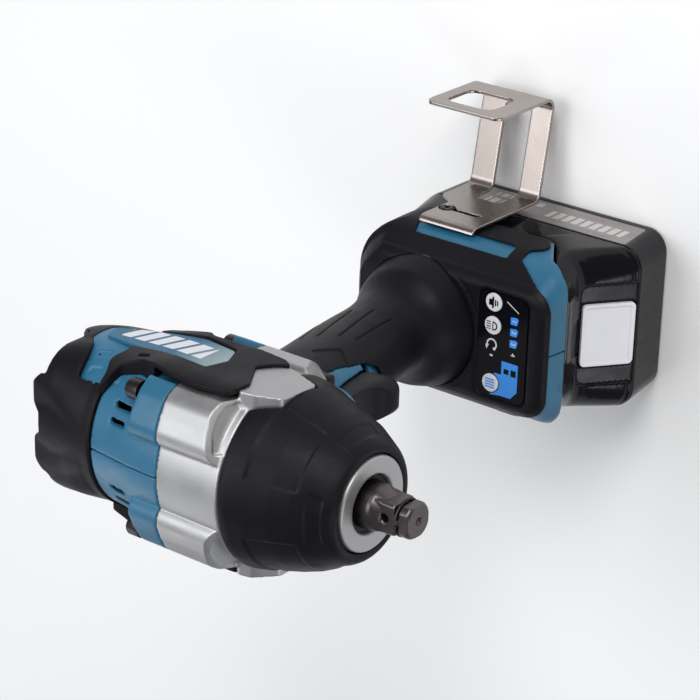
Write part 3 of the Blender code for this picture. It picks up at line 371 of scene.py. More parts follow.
def rounded(points, radius, steps=5):
    """An outline with each corner turned into a short curve that starts up to radius before it."""
    made = []
    for i, corner in enumerate(points):
        here = Vector(corner)
        before = Vector(points[i - 1])
        after = Vector(points[(i + 1) % len(points)])
        start = here + (before - here).normalized() * min(radius, 0.45 * (before - here).length)
        end = here + (after - here).normalized() * min(radius, 0.45 * (after - here).length)
        for k in range(steps + 1):
            t = k / steps
            made.append(tuple(start * (1 - t) ** 2 + here * 2 * t * (1 - t) + end * t * t))
    return made


def head_plate(outline, y0, y1, radius=0.0, steps=5):
    """A side plate with heights counted from the drive axis, and corners rounded by any radius given."""
    points = rounded(outline, radius, steps) if radius else outline
    return side_plate([(x, z + HEAD_Z) for x, z in points], y0, y1)


def corner_plates(quarter, x0, x1):
    """One cross plate at each of the four bolts, from an outline in the first quarter."""
    made = []
    for sy, sz in CORNERS:
        outline = [(sy * u, sz * v) for u, v in quarter]
        made.append(cross_plate(outline if sy * sz > 0 else outline[::-1], x0, x1))
    return made


def round_rows(rows):
    """Stations of rings on the drive axis, from (position, radius)."""
    return [(x, 0, radius, radius, FULL_ROUND) for x, radius in rows]


def ellipse_rows(rows):
    """Stations of oval rings, from (position, centre u, half u, half v)."""
    return [(place, centre, half_u, half_v, FULL_ROUND) for place, centre, half_u, half_v in rows]


def square_rows(rows):
    """Stations of rounded squares on the drive axis, from (position, half side, corner radius)."""
    return [(x, 0, half, half, radius) for x, half, radius in rows]


def section(half_u, half_v, radius, steps):
    """A closed ring: a rectangle whose corners are quarter ellipses no larger than the radius."""
    round_u, round_v = min(radius, 0.998 * half_u), min(radius, 0.998 * half_v)
    ring = []
    for quarter in range(4):
        side_u = 1 if quarter in (0, 3) else -1
        side_v = 1 if quarter < 2 else -1
        for i in range(steps + 1):
            angle = math.radians(90 * (quarter + i / steps))
            ring.append((side_u * (half_u - round_u) + round_u * math.cos(angle),
                         side_v * (half_v - round_v) + round_v * math.sin(angle)))
    return ring


def loft(stations, along, steps=16):
    """A solid through rings given as (position, centre u, half u, half v, corner radius) in millimetres."""
    bm = bmesh.new()
    rings = []
    for position, centre, half_u, half_v, radius in stations:
        ring = []
        for u, v in section(half_u, half_v, radius, steps):
            if along == "Z":
                point = Vector((centre + u, v, position)) * MM
            else:
                point = Vector((position, centre + u, HEAD_Z + v)) * MM
            ring.append(bm.verts.new(point))
        rings.append(ring)
    count = len(rings[0])
    for low, high in zip(rings, rings[1:]):
        for i in range(count):
            j = (i + 1) % count
            bm.faces.new((low[i], low[j], high[j], high[i]))
    bm.faces.new(rings[0])
    bm.faces.new(rings[-1])
    return mesh_of(bm)


def grown(stations, by):
    """The stations made larger all round, or smaller."""
    return [(place, centre, u + by, v + by, radius + by) for place, centre, u, v, radius in stations]


def eased(stations, between=4):
    """The stations with others between them on a smooth curve through them all."""
    made = []
    for i in range(len(stations) - 1):
        p0 = stations[max(i - 1, 0)]
        p1, p2 = stations[i], stations[i + 1]
        p3 = stations[min(i + 2, len(stations) - 1)]
        for k in range(between):
            t = k / between
            row = []
            for a, b, c, d in zip(p0, p1, p2, p3):
                row.append(0.5 * (2 * b + (c - a) * t + (2 * a - 5 * b + 4 * c - d) * t * t
                                  + (3 * b - a - 3 * c + d) * t ** 3))
            made.append(tuple(row))
    return made + [stations[-1]]


def piece(name, mesh, look, body, node=None, voxel=0.0, passes=2, keep=0.5, sharp=40):
    """A visible piece, which may replace a CAD node. With a voxel size its edges are softened."""
    obj = placed(mesh)
    if voxel:
        remesh = obj.modifiers.new("remesh", "REMESH")
        remesh.mode = "VOXEL"
        remesh.voxel_size = voxel * MM
        smooth = obj.modifiers.new("smooth", "SMOOTH")
        smooth.factor = 0.5
        smooth.iterations = passes
        thin = obj.modifiers.new("thin", "DECIMATE")
        thin.ratio = keep
        mesh = evaluated(obj)
        obj = placed(mesh)
    obj.name = name
    mesh.materials.clear()
    mesh.materials.append(LOOK[look])
    mesh.shade_smooth()
    if not voxel:
        mesh.set_sharp_from_angle(angle=math.radians(sharp))
    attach(obj, body)
    if node:
        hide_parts(node)


# ---- the materials themselves


def pack_label_look():
    """Brushed grey-brown film with plain pale bars in place of its printing."""
    n = Nodes("pack_label")
    x, _, z = n.axes()
    streaks = n.noise(900, 3, 0.6, n.stretched((0.05, 1, 1)))
    base = n.mix(n.remap(streaks, 0.35, 0.65, 0, 1), (0.25, 0.225, 0.22), (0.36, 0.33, 0.32))
    mark = None
    for x0, x1, z0, z1 in (
        (-0.004, 0.036, 0.0125, 0.0205), (-0.036, -0.010, 0.008, 0.0125), (-0.036, -0.014, 0.0155, 0.0215)
    ):
        row = n.maths("MULTIPLY", n.within(z, z0, z1), n.within(x, x0, x1))
        mark = row if mark is None else n.maths("MAXIMUM", mark, row)
    n.colour(n.mix(n.maths("MULTIPLY", mark, n.stripes(x, 210.0, 0.7)), base, (0.62, 0.6, 0.6)))
    n.roughness(n.remap(streaks, 0.3, 0.7, 0.28, 0.4))
    n.set(Metallic=0.85)
    n.bump((streaks, 0.000004))


def side_label_look():
    """A printed plate that fades from teal to pale metal, with plain bars where a name would stand."""
    n = Nodes("side_label")
    x, _, z = n.axes()
    base = n.mix(n.remap(x, -0.024, 0.004, 0, 1), (0.018, 0.11, 0.19), (0.3, 0.36, 0.37))
    across = n.within(n.maths("ADD", z, n.maths("MULTIPLY", x, -0.10)), 0.2326, 0.2436)
    ends = n.within(x, -0.0555, -0.0105)
    bars = n.stripes(n.maths("ADD", x, n.maths("MULTIPLY", z, 0.45)), 118.0, 0.74)
    n.colour(n.mix(n.maths("MULTIPLY", n.maths("MULTIPLY", across, ends), bars), base, (0.6, 0.6, 0.66)))
    n.roughness(n.remap(n.noise(200, 3), 0.3, 0.7, 0.4, 0.5))
    n.set(Specular_IOR_Level=0.2)
    n.bump((n.noise(2600, 2), 0.000006))


def make_materials():
    """Makes every look and puts the record's ones on the CAD nodes that stay in view."""
    moulded("teal_plastic", TEAL, 0.4, 0.35, 0.02, specular=0.38, wear=0.35)
    moulded("black_soft", (0.006, 0.0057, 0.008), 0.46, 0.28, 0.025, 0.2, specular=0.12, wear=0.3)
    moulded("black_plastic", (0.006, 0.006, 0.0085), 0.4, 0.3, 0.02, specular=0.15, wear=0.3)
    moulded("battery_body", (0.0035, 0.0035, 0.0055), 0.26, 0.4, 0.008, specular=0.16, wear=0.3)
    moulded("battery_gloss", (0.003, 0.003, 0.005), 0.14, 0.9, 0.005, specular=0.2, coat=0.05)
    moulded("panel_gloss", (0.004, 0.004, 0.006), 0.12, 1.2, 0.004, specular=0.25, coat=0.05)
    moulded("button_white", (0.66, 0.67, 0.69), 0.38, 0.3, 0.008, 0.05)
    moulded("release_white", (0.74, 0.74, 0.78), 0.34, 0.35, 0.01, 0.04)
    moulded("lens", (0.75, 0.75, 0.72), 0.12, 0.8, 0.01, 0.05, coat=0.5)
    moulded("board", (0.02, 0.12, 0.05), 0.4, 0.4, 0.01, 0.2)
    moulded("cell_wrap", (0.05, 0.22, 0.12), 0.35, 0.6, 0.01, 0.15)
    metal("copper_stack", (0.5, 0.26, 0.12), 0.4, 0.5, 0.03, (60, 1, 1))
    metal("silver_case", (0.41, 0.41, 0.415), 0.48, 0.3, 0.02, None, 0.07, (0.58, 0.58, 0.58))
    metal("dark_steel", (0.105, 0.09, 0.093), 0.32, 0.35, 0.04, None, 0.25, (0.42, 0.4, 0.39))
    metal("steel", (0.5, 0.5, 0.51), 0.3, 0.4, 0.01, (6, 1, 1))
    metal("black_steel", (0.045, 0.043, 0.045), 0.38, 0.3, 0.03, None, 0.2, (0.2, 0.19, 0.18))
    metal("bronze", (0.4, 0.27, 0.13), 0.4, 0.3, 0.02)
    moulded("panel_white", (0.62, 0.63, 0.65), 0.35, 0.3, 0.004, 0.04)
    moulded("panel_blue", (0.035, 0.26, 0.78), 0.3, 0.3, 0.004, 0.06)
    pack_label_look()
    side_label_look()
    metal("hook_steel", (0.34, 0.3, 0.28), 0.27, 0.35, 0.003, (1, 0.06, 0.06), 0.08, (0.62, 0.58, 0.55))
    for row in frame["record"]["subparts"]:
        node = frame["nodes"][row["node"]]
        node.data.materials.clear()
        node.data.materials.append(LOOK[row["material_slot"]])
        node.data.shade_smooth()
        node.data.set_sharp_from_angle(angle=math.radians(30))


make_materials()


# ---- shared forms

# Rows of the lofted forms, in millimetres: along the axis in the head, and upwards elsewhere.
BARREL = round_rows([(-43.5, 34.2), (-36, 35), (-20.9, 36.9), (SEAM_X, 37.3)])
NECK = [(186, 2, 22, 14, 12), (189, 2, 25, 16.5, 12), (198, 1, 26, 18.5, 13), (214, -4, 26, 20, 13)]
GRIP = eased(ellipse_rows([
    (78.6, -26, 29.6, 29.6), (81.6, -26, 29.6, 29.6), (84.4, -26.1, 28.9, 28.9), (88, -26.3, 27.6, 27.7),
    (92, -26.6, 25.8, 26), (97, -27, 22.6, 22), (103, -27, 20.6, 18.8), (112, -25.6, 20.4, 17.2),
    (125, -23.2, 21.6, 17.4), (140, -20.8, 22.4, 17.7), (155, -18.2, 22.6, 17.9), (170, -15.8, 22.6, 18.2),
    (182, -13.6, 23.6, 19), (192, -12.6, 25, 20.6), (202, -12, 27, 22.6), (212, -12, 29, 25),
]))
HANDLE = eased(ellipse_rows([
    (74, -26, 21, 21), (88, -26.4, 21, 21), (97, -27, 19, 18), (112, -25.6, 18, 14.8),
    (125, -23.2, 19.2, 15), (155, -18.2, 20.2, 15.5), (182, -13.6, 21.6, 16.6), (206, -12, 25, 20),
]))
FOOT = eased([
    (45, -13.1, 52.9, 37.2, 10), (58, -13.2, 53.8, 37.4, 10), (64, -12.9, 53.9, 37, 10),
    (69, -12.5, 53.4, 35, 10), (73, -11.9, 52.3, 32.2, 10), (76.5, -10.6, 50.4, 29.8, 10),
    (78.3, -9.6, 49, 28.4, 10),
], 3)
FOOT_LID = eased([
    (69, -12.5, 54.8, 36.2, 11.3), (73, -11.9, 53.6, 33.4, 11.3), (76.5, -10.6, 51.8, 31, 11),
    (78.3, -9.8, 50.6, 29.8, 11), (80, -8, 48.2, 28.4, 10.5), (81.2, -6.6, 45.4, 26.8, 9.5),
    (81.9, -5.4, 41.6, 25, 8),
], 3)


def plan_outline(margin):
    """The foot from above, with rounder corners at the rear."""
    rear, front, side = -64.2 - margin, 41.4 + margin, 37.9 + margin
    turn, turn_front = 24, 13
    return [
        *arc((front - turn_front, side - turn_front), turn_front, 0, 90, 12),
        *arc((rear + turn, side - turn), turn, 90, 180, 16),
        *arc((rear + turn, turn - side), turn, 180, 270, 16),
        *arc((front - turn_front, turn_front - side), turn_front, 270, 360, 12),
    ]


def rear_shape(margin):
    """A long shape that rounds the foot's rear corners more and more towards the top."""
    rows = ((30, -64.2, 37.9, 24), (69, -64.2, 37.9, 24), (73, -63.4, 35.4, 25), (76.5, -61.4, 33.6, 25),
            (80, -58.6, 31.6, 25), (82.4, -55, 30, 25))
    return loft(eased([(z, (rear + 120) / 2, (120 - rear) / 2 + margin, half + margin, turn + margin)
                       for z, rear, half, turn in rows], 3), "Z")


def corner_bosses(x0, x1, low):
    """The four proud corners of the case and of the flange behind it, down to a height from the axis."""
    quarter = [(12.8, 8), (12.8, 35), (15.2, 36.8), (17.5, 37.4), (20, 37.3), (25, 35.4), (30.6, 32.4),
               (32.4, 30.6), (35, 26.4), (35.4, low + 1.6), (33.6, low), (8, low)]
    return corner_plates(rounded(quarter, 1.2, 4), x0, x1)


def case_clearance():
    """Cutters for the room that the hammer case takes."""
    return [loft(square_rows([(SEAM_X, 37.7, 21.4), (24.5, 37.7, 21.4)]), "X"), drum(24.3, 60, 39)]


def trigger_outline(margin=0.0):
    """The opening for the trigger, seen from the front, with heights from the drive axis."""
    side = [(15.5, 200), (14.6, 178), (12.4, 165), (10.6, 152), (6.6, 144.6), (0, 142)]
    side = [(y + margin * (y > 0), z - margin) for y, z in side]
    outline = side + [(-y, z) for y, z in side[-2::-1]]
    return [(y, z - HEAD_Z) for y, z in outline]


def shallow(outline, form, reach=60):
    """A cutter that sinks an outline, seen from the side, down to a form on both sides."""
    return cut(side_plate(outline, -reach, reach), form)


# ---- head


def make_housing():
    """The teal clamshell: barrel, bolt flange, handle core and foot, hollowed and split in two."""
    body = loft(eased(BARREL, 4), "X", 20)
    rear_bevel = turned([(0, 0), (0, 46), (-18.9, 46), (-21.3, 41), (-21.3, 0)])
    body = join(
        body,
        *[inside(boss, rear_bevel) for boss in corner_bosses(-21.3, SEAM_X, 23.2)],
        inside(loft(FOOT, "Z"), floor_plate(plan_outline(0), 30, 95), rear_shape(-0.1)),
        loft(NECK, "Z"),
        loft(HANDLE, "Z"),
        inside(loft(GRIP[40:], "Z"), cross_plate(trigger_outline(-0.3), -16, 30)),
    )
    slots = [block((-34.6, s * y, 255.2), (front, s * (y + 2.5), 275.2), 0.5) for s in (-1, 1)
             for front, y in ((-24, 18.6), (-26.6, 13))]
    body = cut(
        body,
        *case_clearance(),
        drum(-50, 5, 33),
        loft(grown(HANDLE[4:], -2.6), "Z"),
        block((-60, -30, 65.2), (34, 30, 74.6)),
        block((-31, -13, 72), (-22, 13, 92)),
        block((-64, -28.9, 40), (60, 28.9, 62.4)),
        block((-35.3, -18, 60), (-6.7, 18, 68)),
        side_plate([(18.5, 40), (18.5, 45.4), (29.8, 62.6), (38, 66.6), (60, 66.6), (60, 40)], -50, 50),
        block((-12, -8.8, 148.6), (40, 8.8, 189)),
        block((4.1, -30, 190.2), (15.7, 30, 196.3)),
        block((19.6, -6.7, 189.4), (40, 6.7, 195.9)),
        *slots,
        *[drum(-30, -20.9, 4.9, sy * BOLT_Y, sz * BOLT_Z) for sy, sz in CORNERS],
        *[drum(-22, 0, 2.8, sy * BOLT_Y, sz * BOLT_Z, segments=24) for sy, sz in CORNERS],
        # A groove round the sleeve's collar.
        cut(rod((-26, 0, 76.6), (-26, 0, 85), 30.8, segments=96),
            rod((-26, 0, 70), (-26, 0, 90), 28, segments=96)),
        # A step and a slot in the band across the foot's front.
        block((40.6, -60, 77), (60, 17.6, 90)),
        block((40.2, -19, 68.4), (60, -14.5, 71.6), 0.4),
    )
    left = inside(body, block((-121, 0.12, -3), (117, 90, 303)))
    right = inside(body, block((-121, -90, -3), (117, -0.12, 303)))
    for name, mesh in (("left", left), ("right", right)):
        piece(f"clamshell_{name}", mesh, "teal_plastic", "tool", f"housing_{name}", 0.65, 2, 0.45)


def sector(first, last, front):
    """A cutter behind a place, between two angles about the drive axis in degrees."""
    return cross_plate(arc((0, 0), 50, first, last, 12) + arc((0, 0), 17, last, first, 12), -84, front)


def make_rear_cap():
    """The soft cap over the motor's end, with lobes on its rim and an opening for the label's rear end."""
    lower = eased(round_rows([(-80.2, 27.6), (-78.4, 29.8), (-76, 30.7), (-70.7, 32.1), (-64.5, 33.3),
                              (-56, 34.3), (-43.8, 35.2)]), 3)
    upper = [(-80.2, 0, 28, 27.6, 12), (-78.2, 0, 29.6, 29.2, 13), (-68, 0, 31.6, 31.4, 18),
             (-58, 0, 33.4, 33.4, 26), (-50, 0, 34.6, 34.6, 33)]
    cap = join(loft(lower, "X", 20), inside(loft(upper, "X", 20), block((-90, -50, 241.2), (-40, 50, 300))))
    cavity = ((-43, 0), (-43, 32.9), (-60, 32.9), (-65, 31.4), (-67.8, 28), (-68.6, 24.4), (-70, 20),
              (-70, 9.8), (-76.6, 9.8), (-76.6, 0))
    # Each cut widens in steps towards the rear, and two of them have a deeper middle.
    rim_cuts = [sector(first - more, last + more, front - 0.7 * more)
                for first, last, front in ((81, 99, -75), (261, 279, -75), (4, 53, -74), (127, 176, -74))
                for more in (0, 1.5, 3, 4.5, 6)]
    rim_cuts += [sector(4, 53, -72.4), sector(127, 176, -72.4)]
    vents = [block((-62, -38, HEAD_Z + z - 1.4), (-51, -28, HEAD_Z + z + 1.4), 0.6) for z in (-8, 0, 8)]
    opening = [(-66, -5.4), (-66.6, 6.4), (-61, 13), (-58.4, 18.6), (-56.4, 26.6), (-50, 25.4), (-40, 23.7),
               (-40, -5.4)]
    cap = cut(cap, turned(cavity), *rim_cuts, *vents, head_plate(opening, 12, 60, 1.2))
    piece("cap", cap, "black_soft", "tool", "rear_cap", 0.6, 12, 0.9)


def make_label_band():
    """The teal side panel and the metallic label plate that runs along it."""
    rows = eased(round_rows([(-68, 32.3), (-60, 33.5), (-50, 34.5), (-38, 35.1)]), 3)
    under = loft(rows, "X", 20)
    room = turned([(-36, 0), (-36, 32.95), (-61.6, 32.95), (-66, 30.4), (-70, 27), (-70, 0)])
    shape = [(-67, -5.6), (-67.6, 6.4), (-62, 13.2), (-59.6, 18.8), (-57.4, 27.4), (-50, 26), (-38, 23.3),
             (-38, -5.6)]
    panel = cut(inside(under, head_plate(shape, 12, 60)), room)
    floor = loft(grown(rows, -0.7), "X", 20)
    for x, z in ((-56.6, 13.6), (-55.4, 20.6)):
        slot = [(x, z), (x + 6.4, z - 1.0), (x + 6.8, z + 1.6), (x + 0.4, z + 2.6)]
        panel = cut(panel, cut(head_plate(slot, 10, 60, 0.5), floor))
    piece("side_panel", panel, "teal_plastic", "tool", None, 0.4, 2, 0.6)

    face = square_rows([(-66, 33.4, 30), (-44, 35.9, 30), (-22, 38.2, 24), (6, 39.4, 22)])
    core = square_rows([(-67, 32.2, 30), (-44, 34.9, 30), (-22, 37, 24), (7, 38.2, 22)])
    outline = [(-63.2, -3.2), (-60.8, 5.6), (-43, 9.2), (-20, 11.4), (-3.4, 12.4), (-0.4, 3.2), (-4.4, -6.2),
               (-22, -9.6), (-45, -7.2)]
    label = inside(loft(eased(face, 5), "X", 20), head_plate(outline, 20, 60, 1.6))
    label = cut(label, loft(eased(core, 5), "X", 20))
    piece("side_label", label, "side_label", "tool")


def make_bumpers():
    """Soft side guards over the barrel and the rear of the hammer case; the left one frames the label."""
    inner = eased(round_rows([(-47.6, 34.4), (-36, 35.3), (-21.8, 35.9)]), 3)
    inner = [(inner[0][0] - 1, *inner[0][1:]), *inner,
             *square_rows([(-20.9, 37.7, 21.4), (20.6, 37.7, 21.4), (21, 37.7, 21.4)])]
    outer = eased(square_rows([(-47.6, 35.9, 34), (-40, 36.9, 32), (-30, 38.2, 28), (-20, 39.5, 24),
                               (-8, 39.8, 23), (20.6, 39.8, 23)]), 4)
    form = cut(loft(outer, "X", 20), loft(inner, "X", 20))
    low_edge = ((20.2, 14.4), (15.2, 6.4), (11.4, 0.4), (15.6, -5.6), (20.4, -9.4), (15.6, -12.4),
                (2.6, -13.6), (-6, -12.6), (-20, -12.4),
                (-24, -15), (-44, -14))
    left_top = ((-44.2, -8), (-44.2, 8.4), (-43.2, 12.6), (-46.4, 16.4), (-47.2, 18.4), (-44.2, 23.6),
                (-44.2, 29.6), (-41.6, 26.6), (-38.6, 21.2),
                (-30, 19.2), (-11.8, 24.4), (1.6, 25.2), (17.2, 23.8), (19.6, 20.6))
    right_top = ((-44.2, 21.5), (-18, 19), (16.5, 18))
    label_room = [(-70, -4.2), (-70, 8.6), (-60, 6), (-43, 9.6), (-20, 11.8), (-3.1, 12.8), (0, 3.2),
                  (-4.1, -6.6), (-22, -10), (-45, -7.6)]
    slit = [(-34.4, 15.2), (-28.4, 15.6), (-28, 17), (-33.6, 16.8)]
    window = [(-40.5, 8.6), (-14, 2), (-14, -8.6), (-40.5, -6)]
    for side, name, top in ((1, "left", left_top), (-1, "right", right_top)):
        mesh = inside(form, head_plate([*top, *low_edge], side * 12, side * 60, 1.4, 4))
        if side > 0:
            mesh = cut(mesh, head_plate(label_room, 12, 60), head_plate(slit, 12, 60, 0.4))
        else:
            mesh = cut(mesh, head_plate(window, -12, -60, 2))
        piece(f"side_guard_{name}", mesh, "black_soft", "tool", f"bumper_{name}", 0.42, 3, 0.45)


def make_hammer_case():
    """The cast case: a round body, a proud boss with a bevelled front at each corner, and side pads."""
    rear = SEAM_X + 0.3
    case = turned([(24.2, 0), (24.2, 36.6), (23.4, 37.6), (rear, 37.3), (rear, 0)], 128)
    cone = turned([(30, 0), (24.2, 36.4), (21.6, 38.4), (15.6, 44.6), (rear, 46), (rear, 0)], 128)
    case = join(case, *[inside(boss, cone) for boss in corner_bosses(rear, 23, 17)])
    # Each boss's front is sunk behind its bevelled edge.
    hollow = [(17.6, 25), (17.6, 35.6), (25, 33.6), (29.4, 30.4), (30.4, 29.4), (33.2, 26), (34.6, 20),
              (24, 20)]
    sink = turned([(40, 0), (40, 46), (15.2, 46), (19.8, 38.9), (21.0, 37.7), (24, 37.2), (24, 0)], 128)
    for front in corner_plates(rounded(hollow, 1.2, 4), 12, 40):
        case = cut(case, inside(front, sink))
    pad_form = loft([(8, 0, 38.5, 24, 3), (24, 0, 38.6, 24, 3), (35.9, 0, 36.9, 24, 3)], "X")
    for side in (1, -1):
        case = join(case, inside(head_plate(PAD, side * 28, side * 60, 1.2), pad_form))
    nose = ((68.6, 0), (68.6, 18.5), (68.1, 19), (64, 19.4), (60.5, 23), (53, 28), (45, 31), (35, 33.6),
            (25, 35), (16, 35), (16, 0))
    cavity = ((80, 0), (80, 12.2), (68.2, 12.2), (67.4, 11.6), (64.2, 11.6), (64.2, 13.2), (43.4, 13.2),
              (42, 24.5), (38.6, 27), (29, 30.4),
              (20, 31), (8, 31), (6, 33), (-9, 33), (-9, 0))
    bolt_holes = [drum(-9, 13, 2.8, sy * BOLT_Y, sz * BOLT_Z, segments=24) for sy, sz in CORNERS]
    case = cut(join(case, turned(nose, 128)), turned(cavity, 96), *bolt_holes)
    piece("cast_case", case, "silver_case", "tool", "hammer_case", 0.45, 2, 0.5)


PAD = ((9, 3), (14.9, -5.9), (19.9, -9.1), (35.5, -6.1), (34.9, 12.4), (26.2, 18.8), (19.7, 20.1), (13, 12))
PAD_ROOM = ((9, 3), (14.9, -8), (20, -9.7), (36, -6.6), (35.5, 12.8), (26.5, 19.4), (19.7, 22), (13, 14))


def make_front_boot():
    """The soft boot over the case's nose: a cone with sunk panels, a stepped shoulder and a lip."""
    outside = [(24.6, 38.1), (25.4, 38.5), (28, 38.3), (35, 36.8), (45, 34), (53, 31.2), (57, 29.2),
               (61.5, 26.8), (65, 24.9), (66.4, 24), (67.5, 23), (67.8, 22.2), (67.6, 20.2), (67.3, 19.6)]
    inside_line = [(64.2, 19.8), (60.7, 23.4), (53, 28.4), (45, 31.4), (35, 34), (24.6, 35.7)]
    boot = turned(outside[::-1] + inside_line[::-1], 144)

    def panel_cut(x0, x1, angle0, angle1, depth, slope):
        """Sinks a panel between two places along the boot and two angles round it."""
        line = [(x, r) for x, r in outside if x0 < x < x1]
        ends = [(x0, radius_at(outside, x0)), *line, (x1, radius_at(outside, x1))]
        ring = turned([(x, r - depth) for x, r in ends][::-1] + [(x, r + 4) for x, r in ends], 144)
        near, far = 20, 60
        wedge = [(near * math.cos(a), near * math.sin(a)) for a in (angle0 + slope, angle1 - slope)]
        wedge += [(far * math.cos(a), far * math.sin(a)) for a in (angle1 + slope, angle0 - slope)]
        return inside(ring, cross_plate(wedge, x0 - 6, x1 + 6))

    cutters = []
    for quarter in range(4):
        middle = math.radians(90 * quarter + 45)
        cutters.append(panel_cut(34.5, 55, middle - 0.43, middle + 0.43, 0.5, 0.06))
        cutters.append(panel_cut(58, 63.8, middle + 0.785 - 0.4, middle + 0.785 + 0.4, 0.6, 0.06))
    boot = cut(boot, *cutters)
    for side in (1, -1):
        boot = cut(boot, head_plate(PAD_ROOM, side * 28, side * 60, 1.2))
    piece("nose_boot", boot, "black_soft", "tool", "front_boot", 0.45, 8, 0.45)


def radius_at(line, x):
    """The radius of a turned outline at a place along it."""
    for (x0, r0), (x1, r1) in zip(line, line[1:]):
        if x0 <= x <= x1:
            return r0 + (r1 - r0) * (x - x0) / (x1 - x0)
    return line[-1][1]


def make_case_bolts():
    """The black cap screws with their hexagon sockets."""
    for i, (sy, sz) in enumerate(CORNERS, 1):
        y, z = sy * BOLT_Y, sz * BOLT_Z
        height = HEAD_Z + z
        head = turned([(-21.2, 0), (-21.2, 4.2), (-26.4, 4.2), (-27.0, 3.9), (-27.2, 3.3), (-27.2, 0)], 48)
        head.transform(Matrix.Translation((0, y * MM, z * MM)))
        hexagon = rod((-30, y, height), (-24.4, y, height), 2.3, segments=6)
        countersink = rod((-27.4, y, height), (-26.6, y, height), 3.0, 2.3, segments=48)
        shank = rod((-22, y, height), (12, y, height), 2.5, segments=32)
        bolt = cut(join(head, shank), hexagon, countersink)
        piece(f"hex_bolt_{i}", bolt, "black_steel", "tool", f"case_bolt_{i}")


def make_anvil():
    """The anvil with its square drive: turned corners, a ring groove, a cross hole and a centre dimple."""
    shank = ((78, 0), (78, 6.2), (76.4, 7.4), (73.4, 9.0), (72, 9.3), (40, 9.3), (40, 11), (38.4, 11),
             (38.4, 24), (37.6, 24.6), (28.4, 24.6),
             (28.4, 11.4), (35, 11.4), (35, 5.3), (42.2, 5.3), (42.2, 0))
    half = 12.7 / 2  # of the square drive
    anvil = turned(shank, 96)
    for start in (0, 180):
        room = arc((0, 0), 30, start - 34, start + 34, 16) + arc((0, 0), 11.4, start + 34, start - 34, 8)
        anvil = cut(anvil, cross_plate(room, 27, 38.4))
    square = block((70, -half, HEAD_Z - half), (89.9, half, HEAD_Z + half), 0.35, 2)
    envelope = ((89.9, 0), (89.9, 6.3), (89.3, 7.1), (88.6, 7.5), (85.5, 7.5), (85.2, 7.2), (85.2, 6.5),
                (83.2, 6.5), (83.2, 7.9), (82.6, 8.35),
                (77, 8.5), (74, 9.3), (60, 30), (20, 30), (20, 0))
    anvil = inside(join(anvil, square), turned(envelope, 96))
    hole_x = 78.6
    anvil = cut(
        anvil,
        rod((hole_x, 0, HEAD_Z - 12), (hole_x, 0, HEAD_Z + 12), 1.6),
        rod((hole_x, 0, HEAD_Z - 6.6), (hole_x, 0, HEAD_Z - 5.4), 2.3, 1.2),
        rod((hole_x, 0, HEAD_Z + 5.4), (hole_x, 0, HEAD_Z + 6.6), 1.2, 2.3),
        rod((88.2, 0, HEAD_Z), (90, 0, HEAD_Z), 0.6, 1.9),
    )
    piece("drive_anvil", anvil, "dark_steel", "anvil", "anvil", 0.24, 2, 0.5)
    seal = turned([(66.6, 9.6), (66.8, 11.4), (64.4, 11.5), (64.4, 9.6)])
    piece("shaft_seal", seal, "black_plastic", "tool")
    ring = bpy.data.curves.new("ring", "CURVE")
    ring.dimensions = "3D"
    ring.bevel_depth = 0.62 * MM  # in the drive's groove, open for 16 degrees
    ring.bevel_resolution = 5
    ring.use_fill_caps = True
    spline = ring.splines.new("POLY")
    places = arc((0, HEAD_Z), 7.15, 98, 98 + 344, 95)
    spline.points.add(len(places) - 1)
    for point, (y, z) in zip(spline.points, places):
        point.co = (84.25 * MM, y * MM, z * MM, 1)
    piece("snap_ring", evaluated(placed(ring)), "black_steel", "anvil", "friction_ring")


# ---- handle


def spine_plate(low_half, high_half, z0, z1):
    """A plate through the handle's back that widens upwards, with rounded corners."""
    outline = [(-low_half, z0), (low_half, z0), (high_half, z1), (-high_half, z1)]
    return cross_plate(rounded([(y, z - HEAD_Z) for y, z in outline], 3), -60, -20)


def make_grip():
    """The soft sleeve, with thin raked grooves, a sunk thumb pad and an open spine at the back."""
    sleeve = loft(GRIP, "Z", 20)
    groove_floor = loft(grown(GRIP, -0.85), "Z", 20)
    rakes = ((-27.4, 161, -40.5, 127), (-22, 157, -31, 122), (-15.5, 151, -23, 117), (-10, 146, -14.6, 115))
    grooves = [shallow([(x0 - 0.5, z0), (x0 + 0.5, z0), (x1 + 0.5, z1), (x1 - 0.5, z1)], groove_floor)
               for x0, z0, x1, z1 in rakes]
    thumb = rounded([(-14, 170.5), (-8.4, 158), (3, 165.4), (-1.5, 171.5), (-6, 174.2)], 1.2)
    pad = shallow(thumb, loft(grown(GRIP, -0.7), "Z", 20))
    barrel_room = round_rows([(-43.5, 34.6), (-21.6, 36)])
    barrel_room += square_rows([(-21.4, 37.7, 21.4), (SEAM_X, 37.7, 21.4)])
    sleeve = cut(
        sleeve,
        loft(grown(HANDLE, 0.3), "Z", 20),
        cross_plate(trigger_outline(), -16, 40),
        loft(grown(NECK, 0.3), "Z", 16),
        loft(barrel_room, "X", 20),
        *case_clearance(),
        block((4, -40, 189.8), (16, 40, 196.8)),
        *[drum(-31, -15, 5, side * BOLT_Y, -BOLT_Z) for side in (-1, 1)],
        spine_plate(6.4, 8.6, 112, 178),
        pad,
        *grooves,
    )
    piece("soft_grip", sleeve, "black_soft", "tool", "grip_sleeve", 0.42, 3, 0.45)
    strip = cut(inside(spine_plate(6.1, 8.3, 112.3, 177.7), loft(grown(GRIP, -0.2), "Z", 20)),
                loft(grown(HANDLE, 0.2), "Z", 20))
    piece("handle_spine", strip, "teal_plastic", "tool", None, 0.45, 2, 0.5)


